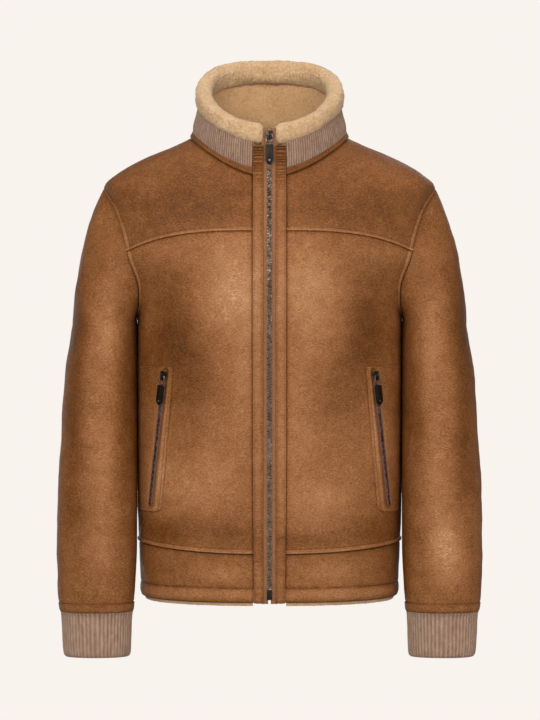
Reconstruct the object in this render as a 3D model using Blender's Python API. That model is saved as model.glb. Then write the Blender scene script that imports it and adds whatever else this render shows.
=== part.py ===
"""A waist-length jacket of faux leather bonded to a pile back, zipped up and hollow, as worn.

Metres, +Z up. The front faces -Y and the wearer's left is +X. The origin lies on the centre line,
at the height of the high points of the shoulders, midway between the front and back of the neck.
"""
import math
from collections import namedtuple

import bmesh
import bpy
import numpy as np
from mathutils import Vector

# Cloth walls and seams
LEATHER_WALL = 0.0040
KNIT_WALL = 0.0035
LINING_WALL = 0.0025
SEAM_GAP = 0.0003
LAP_RISE = 0.0011

# The body from the hem to the collar's top, as rings around it. Angle 0 is the front, 90 the side,
# 180 the back.
# A ring's level is its height at the side; drop and rise are what it falls in front, rises behind,
# and its spreads say how soon: above 1 near the centre line, below 1 already near the side.
Ring = namedtuple("Ring", "level half_width front back square drop rise spread back_spread")
BODY_RINGS = [
    Ring(-0.6600, 0.1825, 0.1260, 0.1160, 2.30, 0.0000, 0.000, 1.70, 1.70),
    Ring(-0.6520, 0.1842, 0.1280, 0.1180, 2.30, 0.0000, 0.000, 1.70, 1.70),
    Ring(-0.6000, 0.1866, 0.1315, 0.1215, 2.30, 0.0000, 0.000, 1.70, 1.70),
    Ring(-0.5780, 0.1876, 0.1320, 0.1220, 2.30, 0.0000, 0.000, 1.70, 1.70),
    Ring(-0.5000, 0.1905, 0.1300, 0.1190, 2.30, 0.0000, 0.000, 1.70, 1.70),
    Ring(-0.4200, 0.1910, 0.1285, 0.1170, 2.30, 0.0000, 0.000, 1.70, 1.70),
    Ring(-0.3350, 0.1905, 0.1305, 0.1190, 2.30, 0.0000, 0.000, 1.70, 1.70),
    Ring(-0.2580, 0.1895, 0.1345, 0.1235, 2.35, 0.0040, 0.000, 1.70, 1.70),
    Ring(-0.2200, 0.2030, 0.1350, 0.1235, 2.45, 0.0080, 0.000, 1.70, 1.70),
    Ring(-0.1650, 0.2295, 0.1335, 0.1215, 2.60, 0.0170, 0.000, 1.70, 1.70),
    Ring(-0.1080, 0.2280, 0.1260, 0.1150, 2.60, 0.0325, 0.002, 1.70, 1.70),
    Ring(-0.0706, 0.2370, 0.1185, 0.1060, 2.50, 0.0450, 0.006, 1.70, 1.70),
    Ring(-0.0533, 0.2196, 0.1145, 0.1010, 2.40, 0.0505, 0.009, 1.70, 1.70),
    Ring(-0.0389, 0.1966, 0.1110, 0.0955, 2.30, 0.0555, 0.013, 1.70, 1.70),
    Ring(-0.0245, 0.1663, 0.1070, 0.0895, 2.20, 0.0600, 0.017, 1.70, 1.70),
    Ring(-0.0101, 0.1318, 0.1025, 0.0820, 2.15, 0.0635, 0.020, 1.70, 1.70),
    Ring(0.0000, 0.1145, 0.1000, 0.0780, 2.10, 0.0647, 0.022, 1.70, 1.70),
    Ring(0.0080, 0.1110, 0.0985, 0.0765, 2.10, 0.0615, 0.023, 1.60, 1.60),
    Ring(0.0210, 0.1080, 0.0972, 0.0765, 2.10, 0.0600, 0.033, 1.50, 1.20),
    Ring(0.0400, 0.1040, 0.0960, 0.0780, 2.10, 0.0594, 0.045, 1.40, 0.65),
    Ring(0.0760, 0.1040, 0.0950, 0.0820, 2.10, 0.0650, 0.043, 1.10, 0.56),
]
HEM = -0.657
UNDERARM = -0.258
SHOULDER_POINT = -0.0706
NECKLINE = 0.0
KNIT_BOTTOM = 0.0080
ROLL_BOTTOM = 0.0400
ROLL_TOP = 0.0760

# Seam lines across the body: the height at the centre, the height at a stated half width
Seam = namedtuple("Seam", "centre side reach power")
YOKE_SEAM = Seam(-0.1420, -0.1677, 0.196, 3.4)
BAND_SEAM = Seam(-0.5890, -0.5780, 0.189, 2.4)

# Soft troughs in the cloth, each mirrored to the other side at nearly the same place
Fold = namedtuple("Fold", "angle level length width depth lean")
FOLDS = [
    Fold(56, -0.250, 0.055, 0.0260, 0.0040, 38),
    Fold(42, -0.205, 0.050, 0.0260, 0.0022, 55),
    Fold(30, -0.300, 0.055, 0.0280, 0.0018, 60),
    Fold(122, -0.262, 0.065, 0.0270, 0.0042, -32),
    Fold(138, -0.200, 0.060, 0.0290, 0.0026, -55),
    Fold(112, -0.480, 0.060, 0.0260, 0.0022, -75),
    Fold(158, -0.500, 0.070, 0.0280, 0.0026, -82),
    Fold(-54, -0.254, 0.052, 0.0260, 0.0036, -34),
    Fold(-44, -0.212, 0.048, 0.0260, 0.0025, -52),
    Fold(-33, -0.306, 0.050, 0.0280, 0.0020, -64),
    Fold(-120, -0.268, 0.062, 0.0270, 0.0040, 34),
    Fold(-140, -0.206, 0.062, 0.0290, 0.0028, 58),
    Fold(-116, -0.470, 0.058, 0.0260, 0.0024, 72),
    Fold(-150, -0.515, 0.066, 0.0280, 0.0022, 84),
]

# Armhole: how far it cuts into the front and the back, in degrees around the body
ARM_STEPS = 12
FRONT_SWING = 23.0
BACK_SWING = 25.0
ARM_SKEW = 0.3

# Sleeve below the underarm, as level sections, and the direction in which it leaves the armhole
Section = namedtuple("Section", "level inner outer front back")
SLEEVE_SECTIONS = [
    Section(-0.7390, 0.1985, 0.2900, -0.0790, -0.0200),
    Section(-0.7340, 0.1970, 0.2918, -0.0815, -0.0180),
    Section(-0.7270, 0.1963, 0.2927, -0.0825, -0.0170),
    Section(-0.6780, 0.1942, 0.2955, -0.0850, -0.0140),
    Section(-0.6740, 0.1930, 0.2968, -0.0900, -0.0080),
    Section(-0.6450, 0.1915, 0.3000, -0.0960, -0.0020),
    Section(-0.5800, 0.1888, 0.3017, -0.0990, 0.0100),
    Section(-0.5000, 0.1888, 0.3008, -0.1010, 0.0220),
    Section(-0.4200, 0.1891, 0.2965, -0.0990, 0.0350),
    Section(-0.3350, 0.1897, 0.2915, -0.0930, 0.0520),
    Section(-0.2700, 0.1903, 0.2821, -0.0850, 0.0700),
]
SLEEVE_SQUARE = 2.2
SLEEVE_HEAD = -0.2700
SLEEVE_END = -0.6745
CUFF_TOP = -0.6748
CUFF_END = -0.7390
CUFF_RIBS = 56
RIB_DEPTH = 0.0007
COLLAR_SHARE = 8

# Front closing: distances from the centre line
CHAIN_HALF = 0.0035
TAPE_INNER = 0.0038
TAPE_OUTER = 0.0082
PLACKET_INNER = 0.0086
PLACKET_OUTER = 0.0235
PLACKET_OUTER_LOW = 0.0218
FRONT_TOP = -0.0205
ZIP_TOP = 0.0040
ZIP_BOTTOM = -0.6520
GATHER_TOP = -0.0250
GATHER_PITCH = 0.0044

# Pockets: the slanted zip runs down from near the chest to near the side
POCKET_TOP = (0.1460, -0.3420)
POCKET_LOW = (0.1660, -0.5240)
PATCH_TOP = -0.3280
PATCH_LOW = -0.5330
PATCH_EDGE_TOP = 0.1330
PATCH_EDGE_LOW = 0.1510
PATCH_SIDE = 76.0
POCKET_ZIP_HALF = 0.0030
POCKET_TAPE_SHARE = 1.25

# Slider and pull tab, in their own directions: across, along the zip, out from it
SLIDER_HALF = 0.0052
SLIDER_LENGTH = 0.0130
PLATE = 0.0018
PULL_AXIS = 0.0033
BAIL_LENGTH = 0.0130
TAB_END = 0.0410
TAB_HALF = 0.0056
TAB_THICK = 0.0016

# Steps for slopes of the form, and a first guess at how deep the front lies before the centre
ANGLE_STEP = 0.4
LEVEL_STEP = 0.0005
GUESSED_DEPTH = 0.11


class Profile:
    """The rows of a table joined by a smooth curve that never overshoots a row."""

    def __init__(self, rows):
        rows = sorted(rows)
        self.kind = type(rows[0])
        self.values = np.array(rows, float)
        self.places = self.values[:, 0]
        rates = np.diff(self.values, axis=0) / np.diff(self.places)[:, None]
        before, after = rates[:-1], rates[1:]
        total = before + after
        same_way = before * after > 0
        middle = np.where(same_way, 2 * before * after / np.where(same_way, total, 1.0), 0.0)
        self.slopes = np.vstack([rates[:1], middle, rates[-1:]])

    def at(self, place):
        last = len(self.places) - 2
        row = min(max(int(np.searchsorted(self.places, place)) - 1, 0), last)
        width = self.places[row + 1] - self.places[row]
        t = min(max((place - self.places[row]) / width, 0.0), 1.0)
        rise = t * t * (3 - 2 * t)
        leave = t * (1 - t) ** 2 * width
        arrive = t * t * (t - 1) * width
        value = self.values[row] * (1 - rise) + self.values[row + 1] * rise
        value = value + self.slopes[row] * leave + self.slopes[row + 1] * arrive
        return self.kind(*value)


BODY = Profile(BODY_RINGS)
SLEEVE = Profile(SLEEVE_SECTIONS)


def fold_depth(angle, level, radius):
    depth = 0.0
    for fold in FOLDS:
        across = math.radians(angle - fold.angle) * radius
        along = level - fold.level
        lean = math.radians(fold.lean)
        side = across * math.cos(lean) + along * math.sin(lean)
        run = along * math.cos(lean) - across * math.sin(lean)
        depth += fold.depth * math.exp(-(side / fold.width) ** 2 - (run / fold.length) ** 2)
    return depth


def form_point(angle, level):
    """A point of the body's outer face at an angle round it and a level."""
    ring = BODY.at(level)
    across = math.sin(math.radians(angle))
    ahead = math.cos(math.radians(angle))
    depth = ring.front if ahead > 0 else ring.back
    wide = abs(across / ring.half_width) ** ring.square
    deep = abs(ahead / depth) ** ring.square
    radius = (wide + deep) ** (-1 / ring.square)
    radius -= fold_depth(angle, level, radius)
    return Vector((radius * across, -radius * ahead, height_of(angle, level)))


def form_normal(angle, level):
    around = form_point(angle + ANGLE_STEP, level) - form_point(angle - ANGLE_STEP, level)
    upward = form_point(angle, level + LEVEL_STEP) - form_point(angle, level - LEVEL_STEP)
    return around.cross(upward).normalized()


def form(angle, level, offset=0.0):
    return form_point(angle, level) + form_normal(angle, level) * offset


def reached(share, spread):
    """How much of a ring's drop or rise is reached, a share of the way from side to centre."""
    return share ** spread if spread >= 1 else 1 - (1 - share) ** (1 / spread)


def height_of(angle, level):
    ring = BODY.at(level)
    ahead = math.cos(math.radians(angle))
    fall = ring.drop * reached(max(ahead, 0.0), ring.spread)
    lift = ring.rise * reached(max(-ahead, 0.0), ring.back_spread)
    return level - fall + lift


def level_at(angle, height):
    """The level whose ring passes through a height at an angle."""
    level = height
    for _ in range(12):
        step = height_of(angle, level + LEVEL_STEP) - height_of(angle, level - LEVEL_STEP)
        level += (height - height_of(angle, level)) * 2 * LEVEL_STEP / max(step, LEVEL_STEP)
    return level


def place_at(x, height):
    """The angle and level of the front point at a distance from the centre line and a height."""
    angle = math.degrees(math.atan2(x, GUESSED_DEPTH))
    level = level_at(angle, height)
    for _ in range(12):
        angle *= x / form_point(angle, level).x
        level = level_at(angle, height)
    return angle, level


def seam_level(seam, angle):
    """The level of a seam line at an angle; its height bends from the centre to the side."""
    level = seam.centre
    for _ in range(4):
        share = min(abs(form_point(angle, level).x) / seam.reach, 1.08)
        height = seam.centre + (seam.side - seam.centre) * share ** seam.power
        level = level_at(angle, height)
    return level


def armhole(step, face):
    """Angle and level of a point of the armhole; face 1 is its front half, -1 its back half."""
    turn = math.pi * step / ARM_STEPS
    swing = (FRONT_SWING if face > 0 else BACK_SWING) * math.sin(turn) * (1 + ARM_SKEW * math.cos(turn))
    level = UNDERARM + (SHOULDER_POINT - UNDERARM) * (1 - math.cos(turn)) / 2
    return 90.0 - face * swing, level


def side_turn(level):
    """Half a seam gap at the side or shoulder line, in degrees."""
    return math.degrees(SEAM_GAP / 2 / BODY.at(level).half_width)


def placket_edge(level):
    share = min(max((level - ZIP_BOTTOM) / 0.2, 0.0), 1.0)
    return PLACKET_OUTER_LOW + (PLACKET_OUTER - PLACKET_OUTER_LOW) * share


def turn_for(x, level_of):
    """The angle at which a row, whose level depends on the angle, lies at a distance x."""
    angle = math.degrees(math.atan2(x, GUESSED_DEPTH))
    for _ in range(6):
        angle *= x / form_point(angle, level_of(angle)).x
    return angle


def material(name, colour, roughness, metallic=0.0):
    finish = bpy.data.materials.new(name)
    finish.use_nodes = True
    shader = finish.node_tree.nodes["Principled BSDF"]
    shader.inputs["Base Color"].default_value = (*colour, 1.0)
    shader.inputs["Roughness"].default_value = roughness
    shader.inputs["Metallic"].default_value = metallic
    return finish


LEATHER = dict(colour=(0.270, 0.118, 0.040), roughness=0.55)
KNIT = dict(colour=(0.300, 0.205, 0.150), roughness=0.95)
PILE = dict(colour=(0.640, 0.440, 0.230), roughness=1.0)
FLEECE = dict(colour=(0.470, 0.285, 0.120), roughness=1.0)
TAPE = dict(colour=(0.180, 0.062, 0.034), roughness=0.85)
GUNMETAL = dict(colour=(0.060, 0.062, 0.070), roughness=0.35, metallic=1.0)


def add_piece(name, mesh, finish):
    """An object from a bmesh, with its own material and smooth shading but for its edges."""
    bmesh.ops.recalc_face_normals(mesh, faces=mesh.faces)
    data = bpy.data.meshes.new(name)
    mesh.to_mesh(data)
    mesh.free()
    data.shade_smooth()
    data.set_sharp_from_angle(angle=math.radians(50))
    data.materials.append(material(name, **finish))
    piece = bpy.data.objects.new(name, data)
    bpy.context.scene.collection.objects.link(piece)
    return piece


def closed_wall(outer, inner, around=False):
    """A cloth wall between two grids of points, closed along its edges."""
    mesh = bmesh.new()
    out = [[mesh.verts.new(point) for point in row] for row in outer]
    inn = [[mesh.verts.new(point) for point in row] for row in inner]
    last_row = len(out) - 1
    columns = len(out[0])
    spans = columns if around else columns - 1
    for c in range(spans):
        d = (c + 1) % columns
        for r in range(last_row):
            mesh.faces.new((out[r][c], out[r][d], out[r + 1][d], out[r + 1][c]))
            mesh.faces.new((inn[r][c], inn[r + 1][c], inn[r + 1][d], inn[r][d]))
        mesh.faces.new((out[0][c], inn[0][c], inn[0][d], out[0][d]))
        mesh.faces.new((out[last_row][c], out[last_row][d], inn[last_row][d], inn[last_row][c]))
    if not around:
        for r in range(last_row):
            mesh.faces.new((out[r][0], out[r + 1][0], inn[r + 1][0], inn[r][0]))
            mesh.faces.new((out[r][-1], inn[r][-1], inn[r + 1][-1], out[r + 1][-1]))
    return mesh


def ribbed_wall(outer, inner, share, around):
    """A wall whose outer face has several columns, its ribs, to each column of the plain inside."""
    mesh = bmesh.new()
    out = [[mesh.verts.new(point) for point in row] for row in outer]
    inn = [[mesh.verts.new(point) for point in row] for row in inner]
    last_row = len(out) - 1
    columns = len(out[0])
    backs = len(inn[0])
    spans = columns if around else columns - 1
    back_spans = backs if around else backs - 1
    for c in range(spans):
        d = (c + 1) % columns
        for r in range(last_row):
            mesh.faces.new((out[r][c], out[r][d], out[r + 1][d], out[r + 1][c]))
    for b in range(back_spans):
        e = (b + 1) % backs
        for r in range(last_row):
            mesh.faces.new((inn[r][b], inn[r + 1][b], inn[r + 1][e], inn[r][e]))
        for r in (0, last_row):
            for k in range(share):
                first = (b * share + k) % columns
                second = (first + 1) % columns
                back = b if k < share // 2 else e
                mesh.faces.new((out[r][first], out[r][second], inn[r][back]))
            middle = (b * share + share // 2) % columns
            mesh.faces.new((out[r][middle], inn[r][e], inn[r][b]))
    if not around:
        for r in range(last_row):
            mesh.faces.new((out[r][0], out[r + 1][0], inn[r + 1][0], inn[r][0]))
            mesh.faces.new((out[r][-1], inn[r][-1], inn[r + 1][-1], out[r + 1][-1]))
    return mesh


def spread(first, last, count):
    return [first + (last - first) * i / count for i in range(count + 1)]


def panel_places(rows, start, columns, side):
    """Angle and level of each point of a panel; a row is its side angle and its level's rule."""
    places = []
    for side_angle, level_of in rows:
        inner_angle = start(level_of)
        places.append([(side * angle, level_of(angle)) for angle in spread(inner_angle, side_angle, columns)])
    return places


def add_panel(name, places, laps, finish=LEATHER, wall=LEATHER_WALL):
    """A panel on the body's form; laps gives how far each row's outer points are raised."""
    outer = [[form(a, z, rise) for a, z in row] for row, rise in zip(places, laps)]
    inner = [[form(a, z, -wall) for a, z in row] for row in places]
    return add_piece(name, closed_wall(outer, inner), finish)


def rule_between(low, high, share, shift=0.0):
    """A row's level rule, a share of the way from one seam's rule to the next."""
    return lambda angle: low(angle) * (1 - share) + high(angle) * share + shift


def yoke_rule(angle):
    return seam_level(YOKE_SEAM, angle)


def band_rule(angle):
    return seam_level(BAND_SEAM, angle)


def neck_rule(angle):
    return NECKLINE


def hem_rule(angle):
    return HEM


def share_for(low, high, angle, level):
    return (level - low(angle)) / (high(angle) - low(angle))


def front_start(level_of):
    """The angle at which a front row meets the placket."""
    rough = turn_for(PLACKET_OUTER, level_of)
    return turn_for(placket_edge(level_of(rough)) + SEAM_GAP, level_of)


FRONT_COLUMNS = 9
BODY_ROWS = 8
YOKE_STEP = 6
SHOULDER_ROWS = 3


def body_side_levels():
    low = band_rule(90.0)
    return spread(low, UNDERARM, BODY_ROWS)


def front_rows():
    """Rows of a front panel from the band seam to the yoke seam."""
    rows = []
    for level in body_side_levels():
        side_angle = 90.0 - side_turn(level)
        share = share_for(band_rule, yoke_rule, 90.0, level)
        rows.append((side_angle, rule_between(band_rule, yoke_rule, share)))
    rows[0] = (rows[0][0], rule_between(band_rule, yoke_rule, 0.0, SEAM_GAP / 2))
    for step in range(1, YOKE_STEP):
        angle, level = armhole(step, 1)
        rows.append((angle, rule_between(band_rule, yoke_rule, share_for(band_rule, yoke_rule, angle, level))))
    angle, level = armhole(YOKE_STEP, 1)
    rows.append((angle, rule_between(band_rule, yoke_rule, 1.0, -SEAM_GAP / 2)))
    return rows


def yoke_rows():
    """Rows of a front yoke from the yoke seam to the neckline."""
    rows = [(armhole(YOKE_STEP, 1)[0], rule_between(yoke_rule, neck_rule, 0.0, SEAM_GAP / 2))]
    here, above = armhole(YOKE_STEP, 1), armhole(YOKE_STEP + 1, 1)
    for share in (0.25, 0.33):
        angle = here[0] + (above[0] - here[0]) * share
        level = here[1] + (above[1] - here[1]) * share
        rows.append((angle, rule_between(yoke_rule, neck_rule, share_for(yoke_rule, neck_rule, angle, level))))
    for step in range(YOKE_STEP + 1, ARM_STEPS + 1):
        angle, level = armhole(step, 1)
        angle = min(angle, 90.0 - side_turn(level))
        rows.append((angle, rule_between(yoke_rule, neck_rule, share_for(yoke_rule, neck_rule, angle, level))))
    for level in spread(SHOULDER_POINT, NECKLINE, SHOULDER_ROWS)[1:]:
        angle = 90.0 - side_turn(level)
        rows.append((angle, rule_between(yoke_rule, neck_rule, share_for(yoke_rule, neck_rule, angle, level))))
    rows[-1] = (rows[-1][0], rule_between(yoke_rule, neck_rule, 1.0, -SEAM_GAP / 2))
    return rows


def add_fronts():
    for side, word in ((1, "left"), (-1, "right")):
        rows = front_rows()
        places = panel_places(rows, front_start, FRONT_COLUMNS, side)
        laps = [LAP_RISE] + [0.0] * (len(rows) - 1)
        add_panel("front_" + word, places, laps)
        rows = yoke_rows()
        places = panel_places(rows, front_start, FRONT_COLUMNS, side)
        laps = [LAP_RISE, LAP_RISE] + [0.0] * (len(rows) - 2)
        add_panel("yoke_" + word, places, laps)


BACK_COLUMNS = 9


def add_back():
    """The back panel, from side seam to side seam and up to the shoulder lines and the neck."""
    ends = []
    for level in body_side_levels():
        ends.append((90.0 + side_turn(level), level))
    for step in range(1, ARM_STEPS + 1):
        angle, level = armhole(step, -1)
        ends.append((max(angle, 90.0 + side_turn(level)), level))
    for level in spread(SHOULDER_POINT, NECKLINE, SHOULDER_ROWS)[1:]:
        ends.append((90.0 + side_turn(level), level))
    low = band_rule(90.0)
    ends[0] = (ends[0][0], low + SEAM_GAP / 2)
    ends[-1] = (ends[-1][0], NECKLINE - SEAM_GAP / 2)
    places = []
    for angle, level in ends:
        turns = spread(angle, 180.0, BACK_COLUMNS)
        turns += [360.0 - turn for turn in reversed(turns[:-1])]
        places.append([(turn if turn <= 180.0 else turn - 360.0, level) for turn in turns])
    laps = [LAP_RISE] + [0.0] * (len(places) - 1)
    add_panel("back", places, laps)


BAND_SHARES = (0.0, 0.06, 0.5, 0.94, 1.0)
BAND_LAPS = (-0.0008, 0.0, 0.0, 0.0, 0.0)


def add_hem_bands():
    """The hem band in three pieces; its lower edge is folded in."""
    for side, word in ((1, "left"), (-1, "right")):
        rows = []
        for share in BAND_SHARES:
            rule = rule_between(hem_rule, band_rule, share, -SEAM_GAP / 2 if share == 1.0 else 0.0)
            rows.append((90.0 - side_turn(rule(90.0)), rule))
        places = panel_places(rows, front_start, FRONT_COLUMNS, side)
        add_panel("hem_band_" + word, places, BAND_LAPS)
    places = []
    top = band_rule(90.0) - SEAM_GAP / 2
    for share in BAND_SHARES:
        level = HEM + (top - HEM) * share
        turns = spread(90.0 + side_turn(level), 180.0, BACK_COLUMNS)
        turns += [360.0 - turn for turn in reversed(turns[:-1])]
        places.append([(turn if turn <= 180.0 else turn - 360.0, level) for turn in turns])
    add_panel("hem_band_back", places, BAND_LAPS)


PILE_DEEP = -0.0043
PILE_WALL = 0.0030
PILE_HEM = -0.6598
PILE_TOP = -0.6440


def round_turns(start, finer=1):
    """Angles round the body by way of the back, in step with the columns of its panels."""
    turns = spread(start, 90.0, FRONT_COLUMNS * finer) + spread(90.0, 180.0, BACK_COLUMNS * finer)[1:]
    return turns + [-turn for turn in reversed(turns[:-1])]


def round_wall(start, levels, face, wall, rises=(0.0, 0.0, 0.0)):
    """A wall on the body's form, open only at the front, at an offset from the form's face."""
    turns = round_turns(start)
    outer = [[form(turn, level, face + rise) for turn in turns] for level, rise in zip(levels, rises)]
    inner = [[form(turn, level, face - wall) for turn in turns] for level in levels]
    return closed_wall(outer, inner)


def add_hem_pile():
    """The pile of the turned-up cloth, which shows as a pale line under the hem."""
    start = turn_for(PLACKET_OUTER, hem_rule)
    add_piece("hem_pile", round_wall(start, (PILE_HEM, PILE_TOP), PILE_DEEP, PILE_WALL), PILE)


def front_strip(x_values, heights, offset_of, side):
    """Rows of points down the front at stated distances from the centre line."""
    rows = []
    for height in heights:
        row = []
        for k, x in enumerate(x_values(height)):
            angle, level = place_at(x, height)
            row.append(form(side * angle, level, offset_of(k, height)))
        rows.append(row)
    return rows


GATHER_LENGTH = 0.0620
GATHER_DEPTH = 0.0006
PUCKERED_END = -0.0865
PUCKERED_ROWS = 30
PLAIN_ROWS = 18
PLACKET_PUFF = (0.0002, 0.0019, 0.0004)
PLACKET_BACK = LEATHER_WALL - 0.0005


def gather(height):
    """Small puckers across the placket, deep at the collar and gone by the chest."""
    fade = max(0.0, 1 - (GATHER_TOP - height) / GATHER_LENGTH)
    return GATHER_DEPTH * fade * math.cos(2 * math.pi * (height - GATHER_TOP) / GATHER_PITCH)


def add_plackets():
    heights = spread(FRONT_TOP, PUCKERED_END, PUCKERED_ROWS) + spread(PUCKERED_END, HEM, PLAIN_ROWS)[1:]
    for side, word in ((1, "left"), (-1, "right")):
        def columns(height):
            edge = placket_edge(height)
            return PLACKET_INNER, (PLACKET_INNER + edge) / 2, edge

        def rise(k, height):
            return PLACKET_PUFF[k] + (gather(height) if k == 1 else 0.0)

        outer = front_strip(columns, heights, rise, side)
        inner = front_strip(columns, heights, lambda k, h: -PLACKET_BACK, side)
        add_piece("placket_" + word, closed_wall(outer, inner), LEATHER)


ZIP_ROWS = 24
TAPE_FACE = -0.0002
TAPE_BACK = -0.0014
CHAIN_FACE = 0.0004
CHAIN_BACK = -0.0020
BOX_FACE = 0.0012
BOX_BACK = -0.0024
BOX_TALL = 0.0142


def bar_down_front(heights, face_offset, back_offset):
    """A closed bar as wide as the chain, down the centre of the front."""
    outer, inner = [], []
    step = Vector((CHAIN_HALF, 0, 0))
    for height in heights:
        level = level_at(0.0, height)
        face, back = form(0.0, level, face_offset), form(0.0, level, back_offset)
        outer.append([face - step, face + step])
        inner.append([back - step, back + step])
    return closed_wall(outer, inner)


def add_front_zip():
    """The zip's two tapes, its chain of teeth as one bar, and the stop box at its foot."""
    tape_heights = spread(ZIP_TOP, ZIP_BOTTOM, ZIP_ROWS)
    for side, word in ((1, "left"), (-1, "right")):
        outer = front_strip(lambda h: (TAPE_INNER, TAPE_OUTER), tape_heights, lambda k, h: TAPE_FACE, side)
        inner = front_strip(lambda h: (TAPE_INNER, TAPE_OUTER), tape_heights, lambda k, h: TAPE_BACK, side)
        add_piece("zip_tape_" + word, closed_wall(outer, inner), TAPE)
    box_top = ZIP_BOTTOM + BOX_TALL
    chain = bar_down_front(spread(ZIP_TOP, box_top + SEAM_GAP, ZIP_ROWS), CHAIN_FACE, CHAIN_BACK)
    add_piece("zip_chain", chain, GUNMETAL)
    add_piece("zip_box", bar_down_front((box_top, ZIP_BOTTOM), BOX_FACE, BOX_BACK), GUNMETAL)


def collar_start(x, level):
    return turn_for(x, lambda angle: level)


NECK_GAP = 0.0007
NECK_RISES = (0.0004, 0.0011, 0.0006)
KNIT_SWELLS = (0.0, 0.0010, 0.0)


def add_neck_band():
    """The leather strip round the neckline, under the knit."""
    start = collar_start(PLACKET_OUTER + SEAM_GAP, KNIT_BOTTOM)
    levels = (NECKLINE + NECK_GAP, KNIT_BOTTOM / 2, KNIT_BOTTOM)
    add_piece("neck_band", round_wall(start, levels, 0.0, LEATHER_WALL, NECK_RISES), LEATHER)


def add_collar_knit():
    """The knit stand: fine upright ribs on its outer face, a plain inside."""
    levels = (KNIT_BOTTOM + NECK_GAP, (KNIT_BOTTOM + ROLL_BOTTOM) / 2, ROLL_BOTTOM - NECK_GAP)
    start = collar_start(PLACKET_OUTER + SEAM_GAP, levels[1])
    outer = []
    for level, swell in zip(levels, KNIT_SWELLS):
        row = []
        for c, turn in enumerate(round_turns(start, COLLAR_SHARE)):
            rib = RIB_DEPTH / 2 * (1 if c % 2 else -1)
            row.append(form(turn, level, swell + rib))
        outer.append(row)
    inner = [[form(turn, level, -KNIT_WALL) for turn in round_turns(start)] for level in levels]
    add_piece("collar_knit", ribbed_wall(outer, inner, COLLAR_SHARE, False), KNIT)


LINING_GAP = 0.0005


def add_collar_lining():
    """Short fleece inside the collar, behind the knit."""
    levels = (KNIT_BOTTOM + NECK_GAP, (KNIT_BOTTOM + ROLL_BOTTOM) / 2, ROLL_BOTTOM - NECK_GAP)
    start = collar_start(PLACKET_OUTER, levels[1])
    add_piece("collar_lining", round_wall(start, levels, -KNIT_WALL - LINING_GAP, LINING_WALL), FLEECE)


ROLL_OUT = 0.0030
ROLL_THICK = 0.0250
ROLL_GAP_HALF = 0.0087
ROLL_SIDES = 14
ROLL_SQUARE = 3.0
ROLL_COLUMNS = 36
# The roll's rounded ends: how far in from the end each ring is, and its share of the full size
ROLL_END_RINGS = ((0.0, 0.62), (0.0035, 0.92), (0.0100, 1.0))


def roll_ring(angle, size):
    """A rounded square section across the thick pile roll that tops the collar."""
    ring = []
    for k in range(ROLL_SIDES):
        turn = 2 * math.pi * (k + 0.5) / ROLL_SIDES
        out = math.copysign(abs(math.cos(turn)) ** (2 / ROLL_SQUARE), math.cos(turn)) * size
        up = math.copysign(abs(math.sin(turn)) ** (2 / ROLL_SQUARE), math.sin(turn)) * size
        level = (ROLL_BOTTOM + ROLL_TOP) / 2 + up * (ROLL_TOP - ROLL_BOTTOM) / 2
        offset = ROLL_OUT - ROLL_THICK / 2 + out * ROLL_THICK / 2
        ring.append(form(angle, level, offset))
    return ring


def add_collar_roll():
    """The pile roll that tops the collar, open at the front between two rounded ends."""
    middle = (ROLL_BOTTOM + ROLL_TOP) / 2
    ends = [(collar_start(ROLL_GAP_HALF + inset, middle), size) for inset, size in ROLL_END_RINGS]
    last_end = ends[-1][0]
    round_it = [(turn, 1.0) for turn in spread(last_end, 360.0 - last_end, ROLL_COLUMNS)[1:-1]]
    places = ends + round_it + [(360.0 - turn, size) for turn, size in reversed(ends)]
    mesh = bmesh.new()
    rings = []
    for turn, size in places:
        angle = turn if turn <= 180.0 else turn - 360.0
        rings.append([mesh.verts.new(point) for point in roll_ring(angle, size)])
    for before, after in zip(rings, rings[1:]):
        for k in range(ROLL_SIDES):
            m = (k + 1) % ROLL_SIDES
            mesh.faces.new((before[k], before[m], after[m], after[k]))
    mesh.faces.new(rings[0])
    mesh.faces.new(rings[-1])
    add_piece("collar_roll", mesh, PILE)


def rounded(value):
    return math.copysign(abs(value) ** (2 / SLEEVE_SQUARE), value)


def sleeve_level_point(turn, level, side):
    """A point of the sleeve's level section; turn 0 is outside, 90 in front, 180 by the body."""
    row = SLEEVE.at(level)
    across = rounded(math.cos(math.radians(turn))) * (row.outer - row.inner) / 2
    ahead = rounded(math.sin(math.radians(turn))) * (row.back - row.front) / 2
    return Vector((side * ((row.outer + row.inner) / 2 + across), (row.front + row.back) / 2 - ahead, level))


def armhole_place(turn):
    """The armhole's place for a turn round the sleeve."""
    if turn <= 180.0:
        angle, level = armhole(ARM_STEPS * (1 - turn / 180.0), 1)
    else:
        angle, level = armhole(ARM_STEPS * (turn / 180.0 - 1), -1)
    return angle, level


ARM_GAP = 0.0005
ARM_MIDDLE = Vector((0.2100, 0.0, -0.1650))


def armhole_frame(turn):
    """Point, cloth normal and way out of the armhole on the wearer's left, for a turn."""
    angle, level = armhole_place(turn)
    point = form_point(angle, level)
    normal = form_normal(angle, level)
    before = form_point(*armhole_place((turn - 2.0) % 360.0))
    after = form_point(*armhole_place((turn + 2.0) % 360.0))
    way = normal.cross(after - before).normalized()
    if way.dot(ARM_MIDDLE - point) < 0:
        way = -way
    return point, normal, way


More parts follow.
